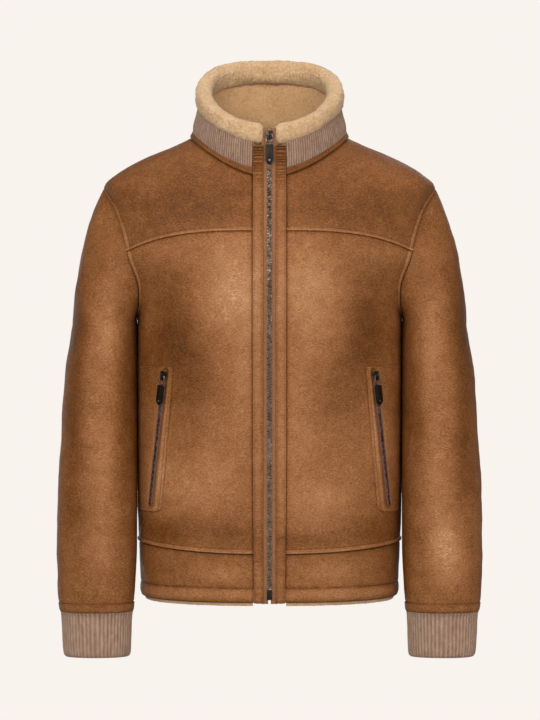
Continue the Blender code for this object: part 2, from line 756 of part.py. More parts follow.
def sleeve_head_point(turn, share, side):
    """A point between the armhole and the sleeve's first level section."""
    point, normal, way = armhole_frame(turn)
    start = point + way * ARM_GAP
    end = sleeve_level_point(turn, SLEEVE_HEAD, 1)
    top = max(math.cos(math.radians(turn)), 0.0)
    under = max(-math.cos(math.radians(turn)), 0.0) ** 2
    leave = Vector((0.35 + 0.15 * top + 0.35 * under, 0.0, -0.93 + 0.06 * top + 0.23 * under)).normalized()
    length = (end - start).length
    first = start + leave * length * (0.24 + 0.08 * under)
    second = end + Vector((-0.012, 0.0, 1.0)) * length * 0.33
    rest = 1 - share
    place = (start * rest ** 3 + first * 3 * rest ** 2 * share
             + second * 3 * rest * share ** 2 + end * share ** 3)
    return Vector((side * place.x, place.y, place.z))


SLEEVE_COLUMNS = 24
HEAD_ROWS = 6
SLEEVE_LEVELS = (-0.302, -0.345, -0.400, -0.455, -0.515, -0.580, -0.622, -0.6620, -0.6640)


def grid_normals(grid, side):
    """Outward directions at the points of a tube's grid, whose rows run down it."""
    normals = []
    last = len(grid) - 1
    count = len(grid[0])
    for r, row in enumerate(grid):
        above, below = grid[max(r - 1, 0)], grid[min(r + 1, last)]
        line = []
        for c in range(count):
            around = row[(c + 1) % count] - row[c - 1]
            downward = below[c] - above[c]
            line.append(around.cross(downward).normalized() * side)
        normals.append(line)
    return normals


def add_sleeves():
    turns = [360.0 * c / SLEEVE_COLUMNS for c in range(SLEEVE_COLUMNS)]
    for side, word in ((1, "left"), (-1, "right")):
        outer = [[sleeve_head_point(turn, r / HEAD_ROWS, side) for turn in turns] for r in range(HEAD_ROWS + 1)]
        outer += [[sleeve_level_point(turn, level, side) for turn in turns] for level in SLEEVE_LEVELS]
        outer.append([sleeve_level_point(turn, SLEEVE_END, side) for turn in turns])
        normals = grid_normals(outer, side)
        inner = [[p - n * LEATHER_WALL for p, n in zip(row, line)] for row, line in zip(outer, normals)]
        for c, turn in enumerate(turns):
            _, _, way = armhole_frame(turn)
            way = Vector((side * way.x, way.y, way.z))
            normal = normals[0][c]
            lean = max(normal.dot(way), 0.0)
            inner[0][c] = outer[0][c] - (normal - way * lean).normalized() * LEATHER_WALL
        for r in (-2, -1):
            outer[r] = [p + n * LAP_RISE for p, n in zip(outer[r], normals[r])]
        add_piece("sleeve_" + word, closed_wall(outer, inner, around=True), LEATHER)


CUFF_SHARE = 4
CUFF_LEVELS = (CUFF_TOP, -0.7270, -0.7355, CUFF_END)
END_RIB_SHARE = 0.3


def add_cuffs():
    """Ribbed knit cuffs: ribs on the outer face, a plain inside."""
    columns = CUFF_RIBS * 2
    for side, word in ((1, "left"), (-1, "right")):
        outer, inner = [], []
        for level in CUFF_LEVELS:
            share = END_RIB_SHARE if level in (CUFF_TOP, CUFF_END) else 1.0
            middle = sleeve_level_point(0.0, level, side).lerp(sleeve_level_point(180.0, level, side), 0.5)
            middle.y = sleeve_level_point(90.0, level, side).lerp(sleeve_level_point(270.0, level, side), 0.5).y
            row, back = [], []
            for c in range(columns):
                point = sleeve_level_point(360.0 * c / columns, level, side)
                outward = (point - middle).normalized()
                depth = RIB_DEPTH * (1 if c % 2 else -1) * share
                row.append(point + outward * (depth - RIB_DEPTH))
                if c % CUFF_SHARE == 0:
                    back.append(point - outward * (KNIT_WALL + RIB_DEPTH))
            outer.append(row)
            inner.append(back)
        add_piece("cuff_" + word, ribbed_wall(outer, inner, CUFF_SHARE, True), KNIT)


PATCH_FACE = 0.0020
PATCH_THINNING = 0.0008
PATCH_ROWS = 9
PATCH_COLUMNS = 6


def patch_face(share):
    """How far the pocket patch stands off the front, thinner towards the side seam."""
    return PATCH_FACE - PATCH_THINNING * share ** 2


def patch_start(height):
    share = (height - PATCH_TOP) / (PATCH_LOW - PATCH_TOP)
    return place_at(PATCH_EDGE_TOP + (PATCH_EDGE_LOW - PATCH_EDGE_TOP) * share, height)


def add_pocket_patches():
    heights = spread(PATCH_TOP, PATCH_LOW, PATCH_ROWS)
    for side, word in ((1, "left"), (-1, "right")):
        outer, inner = [], []
        for height in heights:
            start, _ = patch_start(height)
            row, back = [], []
            for k, angle in enumerate(spread(start, PATCH_SIDE, PATCH_COLUMNS)):
                level = level_at(angle, height)
                row.append(form(side * angle, level, patch_face(k / PATCH_COLUMNS)))
                back.append(form(side * angle, level, SEAM_GAP))
            outer.append(row)
            inner.append(back)
        add_piece("pocket_patch_" + word, closed_wall(outer, inner), LEATHER)


POCKET_ZIP_BASE = 0.0023
POCKET_ZIP_FACE = 0.0033
POCKET_ZIP_ROWS = 9


def pocket_place(share, side):
    """Angle and level of the pocket zip's middle, a share of the way down it."""
    x = POCKET_TOP[0] + (POCKET_LOW[0] - POCKET_TOP[0]) * share
    height = POCKET_TOP[1] + (POCKET_LOW[1] - POCKET_TOP[1]) * share
    angle, level = place_at(x, height)
    return side * angle, level


def add_pocket_zips():
    for side, word in ((1, "left"), (-1, "right")):
        outer, inner = [], []
        for share in spread(0.0, 1.0, POCKET_ZIP_ROWS):
            angle, level = pocket_place(share, side)
            turn = math.degrees(POCKET_ZIP_HALF / form_point(angle, level).xy.length)
            ends = (angle - turn * POCKET_TAPE_SHARE, angle + turn * POCKET_TAPE_SHARE)
            outer.append([form(end, level, POCKET_ZIP_FACE) for end in ends])
            inner.append([form(end, level, POCKET_ZIP_BASE) for end in ends])
        add_piece("pocket_zip_" + word, closed_wall(outer, inner), TAPE)


class Frame:
    """Directions at a zip: across it, up along it and out from it, and a point on its face."""

    def __init__(self, place, above, offset):
        self.origin = form(*place, offset)
        self.up = (form(*above, offset) - self.origin).normalized()
        out = form_normal(*place)
        self.out = (out - self.up * out.dot(self.up)).normalized()
        self.across = self.up.cross(self.out)

    def at(self, across, up, out):
        return self.origin + self.across * across + self.up * up + self.out * out


FRONT_SLIDER = -0.0060
UP_SHARE = -0.1


def slider_frames():
    """The three sliders: the front zip's at the collar, and one at the top of each pocket zip."""
    here, above = (0.0, level_at(0.0, FRONT_SLIDER)), (0.0, level_at(0.0, ZIP_TOP))
    front = Frame(here, above, CHAIN_FACE + SEAM_GAP)
    left = Frame(pocket_place(0.0, 1), pocket_place(UP_SHARE, 1), POCKET_ZIP_FACE + SEAM_GAP)
    right = Frame(pocket_place(0.0, -1), pocket_place(UP_SHARE, -1), POCKET_ZIP_FACE + SEAM_GAP)
    return (("zip", front), ("pocket_left", left), ("pocket_right", right))


# A slider's plate as shares of its length and half width, and its bridge as places along the zip
# and out from it
SLIDER_OUTLINE = ((0.50, 0.72), (0.36, 1.0), (0.0, 0.96), (-0.30, 0.74), (-0.50, 0.70))
BRIDGE_OUTSIDE = ((0.0050, 0.0012), (0.0042, 0.0042), (0.0020, 0.0060), (-0.0020, 0.0060), (-0.0042, 0.0042),
                  (-0.0050, 0.0012))
BRIDGE_INSIDE = ((0.0036, 0.0012), (0.0031, 0.0036), (0.0015, 0.0049), (-0.0015, 0.0049), (-0.0031, 0.0036),
                 (-0.0036, 0.0012))
BRIDGE_HALF = 0.0011


def add_slider(name, frame):
    """A slider's front plate with the arched bridge that holds its pull."""
    top, base = [], []
    for along, wide in SLIDER_OUTLINE:
        v, u = along * SLIDER_LENGTH, wide * SLIDER_HALF
        top.append([frame.at(-u, v, PLATE), frame.at(u, v, PLATE)])
        base.append([frame.at(-u, v, 0.0), frame.at(u, v, 0.0)])
    plate = add_piece(name, closed_wall(top, base), GUNMETAL)
    outer = [[frame.at(-BRIDGE_HALF, v, w), frame.at(BRIDGE_HALF, v, w)] for v, w in BRIDGE_OUTSIDE]
    inner = [[frame.at(-BRIDGE_HALF, v, w), frame.at(BRIDGE_HALF, v, w)] for v, w in BRIDGE_INSIDE]
    bridge = add_piece(name + "_bridge", closed_wall(outer, inner), GUNMETAL)
    bridge.hide_render = True
    bridge.display_type = "WIRE"
    joining = plate.modifiers.new("bridge", "BOOLEAN")
    joining.operation = "UNION"
    joining.object = bridge


# Rows down a pull: the place along the zip, its half width, and half the width of its middle part
PullRow = namedtuple("PullRow", "along half middle")
PULL_ROWS = (
    PullRow(0.0007, 0.0040, 0.0026),
    PullRow(-0.0007, 0.0044, 0.0028),
    PullRow(-BAIL_LENGTH, 0.0050, 0.0030),
    PullRow(-BAIL_LENGTH - 0.0010, TAB_HALF, 0.0030),
    PullRow(-TAB_END + 0.0050, TAB_HALF, 0.0030),
    PullRow(-TAB_END, 0.0016, 0.0009),
)
OPEN_CELL = (1, 1)


def add_pull(name, frame):
    """A pull: a wire bail that turns in the bridge, and a flat tab with a pointed end."""
    middle = frame.at(0.0, 0.0, PULL_AXIS)
    half = TAB_THICK / 2
    mesh = bmesh.new()
    points = []
    for v, u, inset in PULL_ROWS:
        line = (-u, -inset, inset, u)
        points.append([mesh.verts.new(frame.at(x, v, PULL_AXIS - half)) for x in line])
    for r in range(len(points) - 1):
        for c in range(3):
            if (r, c) != OPEN_CELL:
                mesh.faces.new((points[r][c], points[r][c + 1], points[r + 1][c + 1], points[r + 1][c]))
    made = bmesh.ops.extrude_face_region(mesh, geom=mesh.faces[:], use_keep_orig=True)
    moved = [item for item in made["geom"] if isinstance(item, bmesh.types.BMVert)]
    bmesh.ops.translate(mesh, verts=moved, vec=frame.out * TAB_THICK)
    pull = add_piece(name, mesh, GUNMETAL)
    for vertex in pull.data.vertices:
        vertex.co -= middle
    pull.location = middle


def add_sliders():
    for word, frame in slider_frames():
        if word == "zip":
            add_slider("zip_slider", frame)
            add_pull("zip_pull", frame)
        else:
            kind, side = word.split("_")
            add_slider(kind + "_slider_" + side, frame)
            add_pull(kind + "_pull_" + side, frame)


def main():
    for old in list(bpy.data.objects):
        bpy.data.objects.remove(old, do_unlink=True)
    add_fronts()
    add_back()
    add_hem_bands()
    add_hem_pile()
    add_plackets()
    add_front_zip()
    add_neck_band()
    add_collar_knit()
    add_collar_lining()
    add_collar_roll()
    add_sleeves()
    add_cuffs()
    add_pocket_patches()
    add_pocket_zips()
    add_sliders()


main()
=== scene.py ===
import math
from collections import namedtuple

import bmesh
import bpy
import numpy as np
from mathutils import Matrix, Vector, noise


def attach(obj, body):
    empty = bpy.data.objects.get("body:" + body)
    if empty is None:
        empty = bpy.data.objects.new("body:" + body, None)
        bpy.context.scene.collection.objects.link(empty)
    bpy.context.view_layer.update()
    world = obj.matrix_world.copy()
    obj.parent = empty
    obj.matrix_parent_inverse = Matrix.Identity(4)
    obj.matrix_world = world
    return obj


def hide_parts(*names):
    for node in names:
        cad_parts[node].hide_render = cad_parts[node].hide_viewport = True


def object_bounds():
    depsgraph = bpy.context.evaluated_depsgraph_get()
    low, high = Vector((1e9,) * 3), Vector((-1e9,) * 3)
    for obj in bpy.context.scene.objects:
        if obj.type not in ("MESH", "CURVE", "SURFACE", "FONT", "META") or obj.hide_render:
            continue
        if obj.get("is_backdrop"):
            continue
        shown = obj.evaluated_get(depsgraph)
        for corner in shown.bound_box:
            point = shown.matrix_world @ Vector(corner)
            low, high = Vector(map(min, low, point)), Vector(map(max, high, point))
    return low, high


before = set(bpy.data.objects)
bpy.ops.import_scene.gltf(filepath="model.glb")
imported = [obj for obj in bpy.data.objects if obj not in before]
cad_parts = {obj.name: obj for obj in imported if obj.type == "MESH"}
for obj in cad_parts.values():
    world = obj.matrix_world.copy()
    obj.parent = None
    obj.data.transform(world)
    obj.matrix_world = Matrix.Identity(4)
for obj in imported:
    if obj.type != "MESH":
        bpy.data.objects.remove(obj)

cad_box = [list(corner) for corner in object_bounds()]

# Camera
# The jacket is seen square from the front, at the height of its waist, from a little over three
# metres. The whole of it is in view, with an even margin.
VIEW_DISTANCE = 3.2
VIEW_HEIGHT = -0.32
VIEW_MIDDLE = 0.0007
FRAMED_HEIGHT = 1.0368
SENSOR = 36.0

camera = bpy.data.objects.new("camera", bpy.data.cameras.new("camera"))
camera.location = (VIEW_MIDDLE, -VIEW_DISTANCE, VIEW_HEIGHT)
camera.rotation_euler = (math.pi / 2, 0.0, 0.0)
camera.data.sensor_width = SENSOR
camera.data.lens = SENSOR * VIEW_DISTANCE / FRAMED_HEIGHT
camera.data.clip_end = 60.0
bpy.context.scene.collection.objects.link(camera)
bpy.context.scene.camera = camera


# Room
# A pale, even studio: a floor and a backdrop of the same warm white, and large soft lights, most
# of them in front. The backdrop and the floor only show; the lights do the lighting.
def linear(red, green, blue):
    """A screen colour from 0 to 255 as the linear colour that shaders take."""
    share = [value / 255.0 for value in (red, green, blue)]
    return tuple(s / 12.92 if s <= 0.04045 else ((s + 0.055) / 1.055) ** 2.4 for s in share)


BACKDROP = linear(249, 243, 238)
BACKDROP_RADIUS = 20.0
FLOOR_HEIGHT = -1.3
FLOOR_RADIUS = 19.0
AIR_GLOW = 0.40

# Place, size, power and aim of each soft light
Softbox = namedtuple("Softbox", "name place width power")
SOFTBOXES = [
    Softbox("key", (-1.3, -3.1, 1.1), 2.2, 78.0),
    Softbox("fill", (1.7, -3.0, 0.3), 2.6, 50.0),
    Softbox("top", (0.0, -0.4, 2.6), 1.8, 26.0),
    Softbox("behind", (0.6, 3.4, 0.9), 2.4, 34.0),
    Softbox("behind_low", (-1.6, 3.0, -0.4), 2.2, 18.0),
]


def add_stage_piece(name, mesh):
    glow = bpy.data.materials.new(name)
    glow.use_nodes = True
    nodes = glow.node_tree.nodes
    nodes.clear()
    light = nodes.new("ShaderNodeEmission")
    light.inputs["Color"].default_value = (*BACKDROP, 1.0)
    out = nodes.new("ShaderNodeOutputMaterial")
    glow.node_tree.links.new(light.outputs["Emission"], out.inputs["Surface"])
    data = bpy.data.meshes.new(name)
    mesh.to_mesh(data)
    mesh.free()
    data.materials.append(glow)
    piece = bpy.data.objects.new(name, data)
    piece.visible_diffuse = False
    piece.visible_glossy = False
    piece.visible_transmission = False
    piece.visible_shadow = False
    bpy.context.scene.collection.objects.link(piece)
    piece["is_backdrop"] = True
    return piece


dome = bmesh.new()
bmesh.ops.create_uvsphere(dome, u_segments=48, v_segments=24, radius=BACKDROP_RADIUS)
add_stage_piece("backdrop", dome)
disc = bmesh.new()
bmesh.ops.create_circle(disc, cap_ends=True, segments=64, radius=FLOOR_RADIUS)
add_stage_piece("floor", disc).location.z = FLOOR_HEIGHT

for box in SOFTBOXES:
    lamp = bpy.data.lights.new(box.name, "AREA")
    lamp.size = box.width
    lamp.energy = box.power
    holder = bpy.data.objects.new(box.name, lamp)
    holder.location = box.place
    aim = Vector((0.0, 0.0, VIEW_HEIGHT)) - holder.location
    holder.rotation_euler = aim.to_track_quat("-Z", "Y").to_euler()
    bpy.context.scene.collection.objects.link(holder)

air = bpy.data.worlds.new("air")
air.use_nodes = True
air.node_tree.nodes["Background"].inputs["Color"].default_value = (1.0, 0.97, 0.94, 1.0)
air.node_tree.nodes["Background"].inputs["Strength"].default_value = AIR_GLOW
bpy.context.scene.world = air
bpy.context.scene.view_settings.view_transform = "Standard"

# Fronts
# The two front panels, of faux leather bonded to a pile back, run from the hem band to the yoke
# seam and from the zip to the side seam. Their top edge goes under the yoke, their lower edge is
# turned and stitched down on the hem band, and along the armhole they lap over the sleeve.
LEATHER_WALL = 0.0040
SEAM_GAP = 0.0003

# The body as rings around it. Angle 0 is the front, 90 the side, 180 the back. A ring's level is
# its height at the side; drop and rise are what it falls in front and rises behind, and its
# spreads say how soon: above 1 near the centre line, below 1 already near the side.
Ring = namedtuple("Ring", "level half_width front back square drop rise spread back_spread")
BODY_RINGS = [
    Ring(-0.6600, 0.1825, 0.1260, 0.1160, 2.30, 0.0000, 0.000, 1.70, 1.70),
    Ring(-0.6520, 0.1842, 0.1280, 0.1180, 2.30, 0.0000, 0.000, 1.70, 1.70),
    Ring(-0.6000, 0.1866, 0.1315, 0.1215, 2.30, 0.0000, 0.000, 1.70, 1.70),
    Ring(-0.5780, 0.1876, 0.1320, 0.1220, 2.30, 0.0000, 0.000, 1.70, 1.70),
    Ring(-0.5000, 0.1905, 0.1300, 0.1190, 2.30, 0.0000, 0.000, 1.70, 1.70),
    Ring(-0.4200, 0.1910, 0.1285, 0.1170, 2.30, 0.0000, 0.000, 1.70, 1.70),
    Ring(-0.3350, 0.1905, 0.1305, 0.1190, 2.30, 0.0000, 0.000, 1.70, 1.70),
    Ring(-0.2580, 0.1895, 0.1345, 0.1235, 2.35, 0.0040, 0.000, 1.70, 1.70),
    Ring(-0.2200, 0.2030, 0.1350, 0.1235, 2.45, 0.0080, 0.000, 1.70, 1.70),
    Ring(-0.1650, 0.2295, 0.1335, 0.1215, 2.60, 0.0170, 0.000, 1.70, 1.70),
    Ring(-0.1080, 0.2280, 0.1260, 0.1150, 2.60, 0.0325, 0.002, 1.70, 1.70),
    Ring(-0.0706, 0.2370, 0.1185, 0.1060, 2.50, 0.0450, 0.006, 1.70, 1.70),
    Ring(-0.0533, 0.2196, 0.1145, 0.1010, 2.40, 0.0505, 0.009, 1.70, 1.70),
    Ring(-0.0389, 0.1966, 0.1110, 0.0955, 2.30, 0.0555, 0.013, 1.70, 1.70),
    Ring(-0.0245, 0.1663, 0.1070, 0.0895, 2.20, 0.0600, 0.017, 1.70, 1.70),
    Ring(-0.0101, 0.1318, 0.1025, 0.0820, 2.15, 0.0635, 0.020, 1.70, 1.70),
    Ring(0.0000, 0.1145, 0.1000, 0.0780, 2.10, 0.0647, 0.022, 1.70, 1.70),
    Ring(0.0080, 0.1110, 0.0985, 0.0765, 2.10, 0.0615, 0.023, 1.60, 1.60),
    Ring(0.0210, 0.1080, 0.0972, 0.0765, 2.10, 0.0600, 0.033, 1.50, 1.20),
    Ring(0.0400, 0.1040, 0.0960, 0.0780, 2.10, 0.0594, 0.045, 1.40, 0.65),
    Ring(0.0760, 0.1040, 0.0950, 0.0820, 2.10, 0.0650, 0.043, 1.10, 0.56),
]
UNDERARM = -0.258
SHOULDER_POINT = -0.0706
NECKLINE = 0.0

# Seam lines across the body: the height at the centre, the height at a stated half width
Seam = namedtuple("Seam", "centre side reach power")
YOKE_SEAM = Seam(-0.1420, -0.1677, 0.196, 3.4)
BAND_SEAM = Seam(-0.5890, -0.5780, 0.189, 2.4)

# The large soft troughs of the worn body, then the small ones of its leather
Fold = namedtuple("Fold", "angle level length width depth lean")
FOLDS = [
    Fold(56, -0.250, 0.055, 0.0260, 0.0040, 38),
    Fold(42, -0.205, 0.050, 0.0260, 0.0022, 55),
    Fold(30, -0.300, 0.055, 0.0280, 0.0018, 60),
    Fold(122, -0.262, 0.065, 0.0270, 0.0042, -32),
    Fold(138, -0.200, 0.060, 0.0290, 0.0026, -55),
    Fold(112, -0.480, 0.060, 0.0260, 0.0022, -75),
    Fold(158, -0.500, 0.070, 0.0280, 0.0026, -82),
    Fold(-54, -0.254, 0.052, 0.0260, 0.0036, -34),
    Fold(-44, -0.212, 0.048, 0.0260, 0.0025, -52),
    Fold(-33, -0.306, 0.050, 0.0280, 0.0020, -64),
    Fold(-120, -0.268, 0.062, 0.0270, 0.0040, 34),
    Fold(-140, -0.206, 0.062, 0.0290, 0.0028, 58),
    Fold(-116, -0.470, 0.058, 0.0260, 0.0024, 72),
    Fold(-150, -0.515, 0.066, 0.0280, 0.0022, 84),
]
CREASES = [
    Fold(64, -0.245, 0.040, 0.0090, 0.0016, 30),
    Fold(50, -0.285, 0.045, 0.0110, 0.0012, 48),
    Fold(60, -0.330, 0.035, 0.0100, 0.0010, 62),
    Fold(36, -0.360, 0.050, 0.0130, 0.0009, 70),
    Fold(22, -0.250, 0.045, 0.0130, 0.0007, 40),
    Fold(18, -0.470, 0.050, 0.0120, 0.0009, 78),
    Fold(40, -0.545, 0.040, 0.0090, 0.0010, 86),
    Fold(70, -0.550, 0.035, 0.0080, 0.0012, 95),
    Fold(26, -0.610, 0.030, 0.0080, 0.0009, 60),
    Fold(58, -0.620, 0.030, 0.0080, 0.0010, 105),
    Fold(-62, -0.250, 0.042, 0.0090, 0.0015, -28),
    Fold(-52, -0.290, 0.044, 0.0110, 0.0013, -50),
    Fold(-64, -0.335, 0.036, 0.0100, 0.0009, -66),
    Fold(-38, -0.372, 0.050, 0.0130, 0.0010, -72),
    Fold(-20, -0.262, 0.045, 0.0130, 0.0007, -38),
    Fold(-16, -0.455, 0.050, 0.0120, 0.0008, -80),
    Fold(-44, -0.548, 0.040, 0.0090, 0.0010, -84),
    Fold(-72, -0.545, 0.035, 0.0080, 0.0011, -92),
    Fold(-30, -0.612, 0.030, 0.0080, 0.0009, -64),
    Fold(-60, -0.618, 0.030, 0.0080, 0.0010, -100),
    Fold(112, -0.250, 0.045, 0.0100, 0.0016, -30),
    Fold(128, -0.300, 0.050, 0.0120, 0.0012, -50),
    Fold(150, -0.230, 0.050, 0.0140, 0.0008, -65),
    Fold(165, -0.400, 0.060, 0.0140, 0.0009, -80),
    Fold(140, -0.460, 0.055, 0.0120, 0.0010, -84),
    Fold(120, -0.545, 0.045, 0.0090, 0.0012, -95),
    Fold(160, -0.560, 0.045, 0.0100, 0.0010, -88),
    Fold(146, -0.618, 0.035, 0.0080, 0.0010, -100),
    Fold(-114, -0.255, 0.045, 0.0100, 0.0015, 32),
    Fold(-130, -0.305, 0.050, 0.0120, 0.0012, 52),
    Fold(-152, -0.240, 0.050, 0.0140, 0.0008, 62),
    Fold(-168, -0.380, 0.060, 0.0140, 0.0008, 82),
    Fold(-138, -0.450, 0.055, 0.0120, 0.0010, 80),
    Fold(-122, -0.540, 0.045, 0.0090, 0.0012, 94),
    Fold(-158, -0.565, 0.045, 0.0100, 0.0010, 90),
    Fold(-142, -0.620, 0.035, 0.0080, 0.0010, 98),
]

# Armhole: how far it cuts into the front and the back, in degrees around the body
ARM_STEPS = 12
YOKE_STEP = 6
FRONT_SWING = 23.0
BACK_SWING = 25.0
ARM_SKEW = 0.3

# The front closing's strip beside each panel
PLACKET_OUTER = 0.0235
PLACKET_OUTER_LOW = 0.0218
ZIP_BOTTOM = -0.6520

ANGLE_STEP = 0.4
LEVEL_STEP = 0.0005


class Profile:
    """The rows of a table joined by a smooth curve that never overshoots a row."""

    def __init__(self, rows):
        rows = sorted(rows)
        self.kind = type(rows[0])
        self.values = np.array(rows, float)
        self.places = self.values[:, 0]
        rates = np.diff(self.values, axis=0) / np.diff(self.places)[:, None]
        before, after = rates[:-1], rates[1:]
        total = before + after
        same_way = before * after > 0
        middle = np.where(same_way, 2 * before * after / np.where(same_way, total, 1.0), 0.0)
        self.slopes = np.vstack([rates[:1], middle, rates[-1:]])

    def at(self, place):
        place = np.asarray(place, float)
        row = np.clip(np.searchsorted(self.places, place) - 1, 0, len(self.places) - 2)
        width = (self.places[row + 1] - self.places[row])[..., None]
        t = np.clip((place - self.places[row])[..., None] / width, 0.0, 1.0)
        rise = t * t * (3 - 2 * t)
        value = self.values[row] * (1 - rise) + self.values[row + 1] * rise
        value = value + self.slopes[row] * t * (1 - t) ** 2 * width
        value = value + self.slopes[row + 1] * t * t * (t - 1) * width
        return self.kind(*np.moveaxis(value, -1, 0))


BODY = Profile(BODY_RINGS)


def trough_depth(folds, angle, level, radius):
    """How deep the named folds press the cloth in at an angle, level and radius."""
    depth = np.zeros(np.broadcast(angle, level).shape)
    for fold in folds:
        turned = (angle - fold.angle + 180.0) % 360.0 - 180.0
        across = np.radians(turned) * radius
        along = level - fold.level
        lean = math.radians(fold.lean)
        side = across * math.cos(lean) + along * math.sin(lean)
        way = along * math.cos(lean) - across * math.sin(lean)
        depth = depth + fold.depth * np.exp(-(side / fold.width) ** 2 - (way / fold.length) ** 2)
    return depth


def reached(share, spread):
    """How much of a ring's drop or rise is reached, a share of the way from side to centre."""
    share = np.maximum(share, 0.0)
    return np.where(spread >= 1, share ** spread, 1 - (1 - share) ** (1 / spread))


def height_of(angle, level):
    ring = BODY.at(level)
    ahead = np.cos(np.radians(angle))
    return level - ring.drop * reached(ahead, ring.spread) + ring.rise * reached(-ahead, ring.back_spread)


def form_point(angle, level):
    """Points of the body's outer face at angles round it and levels."""
    ring = BODY.at(level)
    across = np.sin(np.radians(angle))
    ahead = np.cos(np.radians(angle))
    depth = np.where(ahead > 0, ring.front, ring.back)
    wide = np.abs(across / ring.half_width) ** ring.square
    deep = np.abs(ahead / depth) ** ring.square
    radius = (wide + deep) ** (-1 / ring.square)
    radius = radius - trough_depth(FOLDS, angle, level, radius)
    return np.stack([radius * across, -radius * ahead, height_of(angle, level)], axis=-1)


def unit(directions):
    return directions / np.linalg.norm(directions, axis=-1, keepdims=True)


def form_normal(angle, level):
    around = form_point(angle + ANGLE_STEP, level) - form_point(angle - ANGLE_STEP, level)
    upward = form_point(angle, level + LEVEL_STEP) - form_point(angle, level - LEVEL_STEP)
    return unit(np.cross(around, upward))


def form(angle, level, offset=0.0):
    return form_point(angle, level) + form_normal(angle, level) * np.asarray(offset)[..., None]


def level_at(angle, height):
    """The levels whose rings pass through heights at angles."""
    level = height + 0.0 * angle
    for _ in range(12):
        step = height_of(angle, level + LEVEL_STEP) - height_of(angle, level - LEVEL_STEP)
        level = level + (height - height_of(angle, level)) * 2 * LEVEL_STEP / np.maximum(step, LEVEL_STEP)
    return level


GUESSED_DEPTH = 0.11


def place_at(x, height):
    """Angles and levels of the front points at distances from the centre line and heights."""
    angle = np.degrees(np.arctan2(x, GUESSED_DEPTH)) + 0.0 * height
    level = level_at(angle, height)
    for _ in range(12):
        angle = angle * x / form_point(angle, level)[..., 0]
        level = level_at(angle, height)
    return angle, level


def turn_for(x, level_of):
    """The angles at which rows, whose levels depend on the angle, lie at a distance x."""
    angle = np.degrees(np.arctan2(x, GUESSED_DEPTH))
    for _ in range(8):
        angle = angle * x / form_point(angle, level_of(angle))[..., 0]
    return angle


def seam_level(seam, angle):
    """The level of a seam line at angles; its height bends from the centre to the side."""
    level = seam.centre + 0.0 * angle
    for _ in range(4):
        share = np.minimum(np.abs(form_point(angle, level)[..., 0]) / seam.reach, 1.08)
        height = seam.centre + (seam.side - seam.centre) * share ** seam.power
        level = level_at(angle, height)
    return level


def yoke_rule(angle):
    return seam_level(YOKE_SEAM, angle)


def band_rule(angle):
    return seam_level(BAND_SEAM, angle)


def armhole(step, face):
    """Angle and level of points of the armhole; face 1 is its front half, -1 its back half."""
    turn = np.pi * step / ARM_STEPS
    swing = np.where(face > 0, FRONT_SWING, BACK_SWING) * np.sin(turn) * (1 + ARM_SKEW * np.cos(turn))
    level = UNDERARM + (SHOULDER_POINT - UNDERARM) * (1 - np.cos(turn)) / 2
    return 90.0 - face * swing, level


def side_turn(level):
    """Half a seam gap at the side or shoulder line, in degrees."""
    return np.degrees(SEAM_GAP / 2 / BODY.at(level).half_width)


def placket_edge(level):
    share = np.clip((level - ZIP_BOTTOM) / 0.2, 0.0, 1.0)
    return PLACKET_OUTER_LOW + (PLACKET_OUTER - PLACKET_OUTER_LOW) * share


# Distances from a seam at which a panel has rows of points, so that its turned edge is round
EDGE_ROWS = (0.0, 0.0005, 0.0012, 0.0022, 0.0035, 0.0048, 0.0058, 0.0064, 0.0070, 0.0078, 0.0092, 0.0115)
CLOTH_STEP = 0.0040


def rows_between(length, low_edge=True, high_edge=True):
    """Distances along a length, close together at the edges that are named."""
    low = list(EDGE_ROWS) if low_edge else [0.0]
    high = [length - d for d in reversed(EDGE_ROWS)] if high_edge else [length]
    count = max(int(round((high[0] - low[-1]) / CLOTH_STEP)), 2)
    middle = list(np.linspace(low[-1], high[0], count + 1)[1:-1])
    return np.array(low + middle + high)


def panel_grid(share, side_angle, low, high, shift, breadth):
    """Angle and level of a panel's points, whose rows lie between two seams' rules."""
    shares, shifts = share[:, None], shift[:, None]

    def row_level(angle):
        return low(angle) * (1 - share) + high(angle) * share + shift

    rough = turn_for(PLACKET_OUTER + 0.0 * share, row_level)
    start = turn_for(placket_edge(row_level(rough)) + SEAM_GAP, row_level)
    across = rows_between(breadth) / breadth
    angle = start[:, None] + (side_angle - start)[:, None] * across
    level = low(angle) * (1 - shares) + high(angle) * shares + shifts
    return angle, level


def run_along(points, axis):
    """Distances along the rows (1) or columns (0) of a grid from its first edge and to its last."""
    steps = np.linalg.norm(np.diff(points, axis=axis), axis=-1)
    start = np.zeros_like(np.take(steps, [0], axis=axis))
    gone = np.concatenate([start, np.cumsum(steps, axis=axis)], axis=axis)
    return gone, np.take(gone, [-1], axis=axis) - gone


def bell(value, middle, width):
    """1 at the middle, falling to a third a width away from it."""
    return np.exp(-((value - middle) / width) ** 2)


def ease(value, start, end):
    t = np.clip((value - start) / (end - start), 0.0, 1.0)
    return t * t * (3 - 2 * t)


STITCH_LINE = 0.0062
TURNED_RISE = 0.0019
FOLD_ROUND = 0.0014
RIDGE_FALL = (0.0054, 0.0090)
STITCH_DEPTH = 0.0020
STITCH_WIDTH = 0.0012
# How much painted highlight goes on a seam's ridges, and painted shade in its grooves, by their height
SEAM_PAINTED_LIGHT = 120.0


def lapped(d):
    """An edge that is turned, laid over its neighbour and stitched down near the fold."""
    ridge = TURNED_RISE * ease(d, 0.0, FOLD_ROUND) * (1 - ease(d, *RIDGE_FALL))
    fold = -FOLD_ROUND * (1 - ease(d, 0.0, FOLD_ROUND))
    groove = -STITCH_DEPTH * bell(d, STITCH_LINE, STITCH_WIDTH)
    return ridge + fold + groove


def tucked(d):
    """An edge that goes under its neighbour's turned edge."""
    return -0.0012 * np.exp(-d / 0.0022)


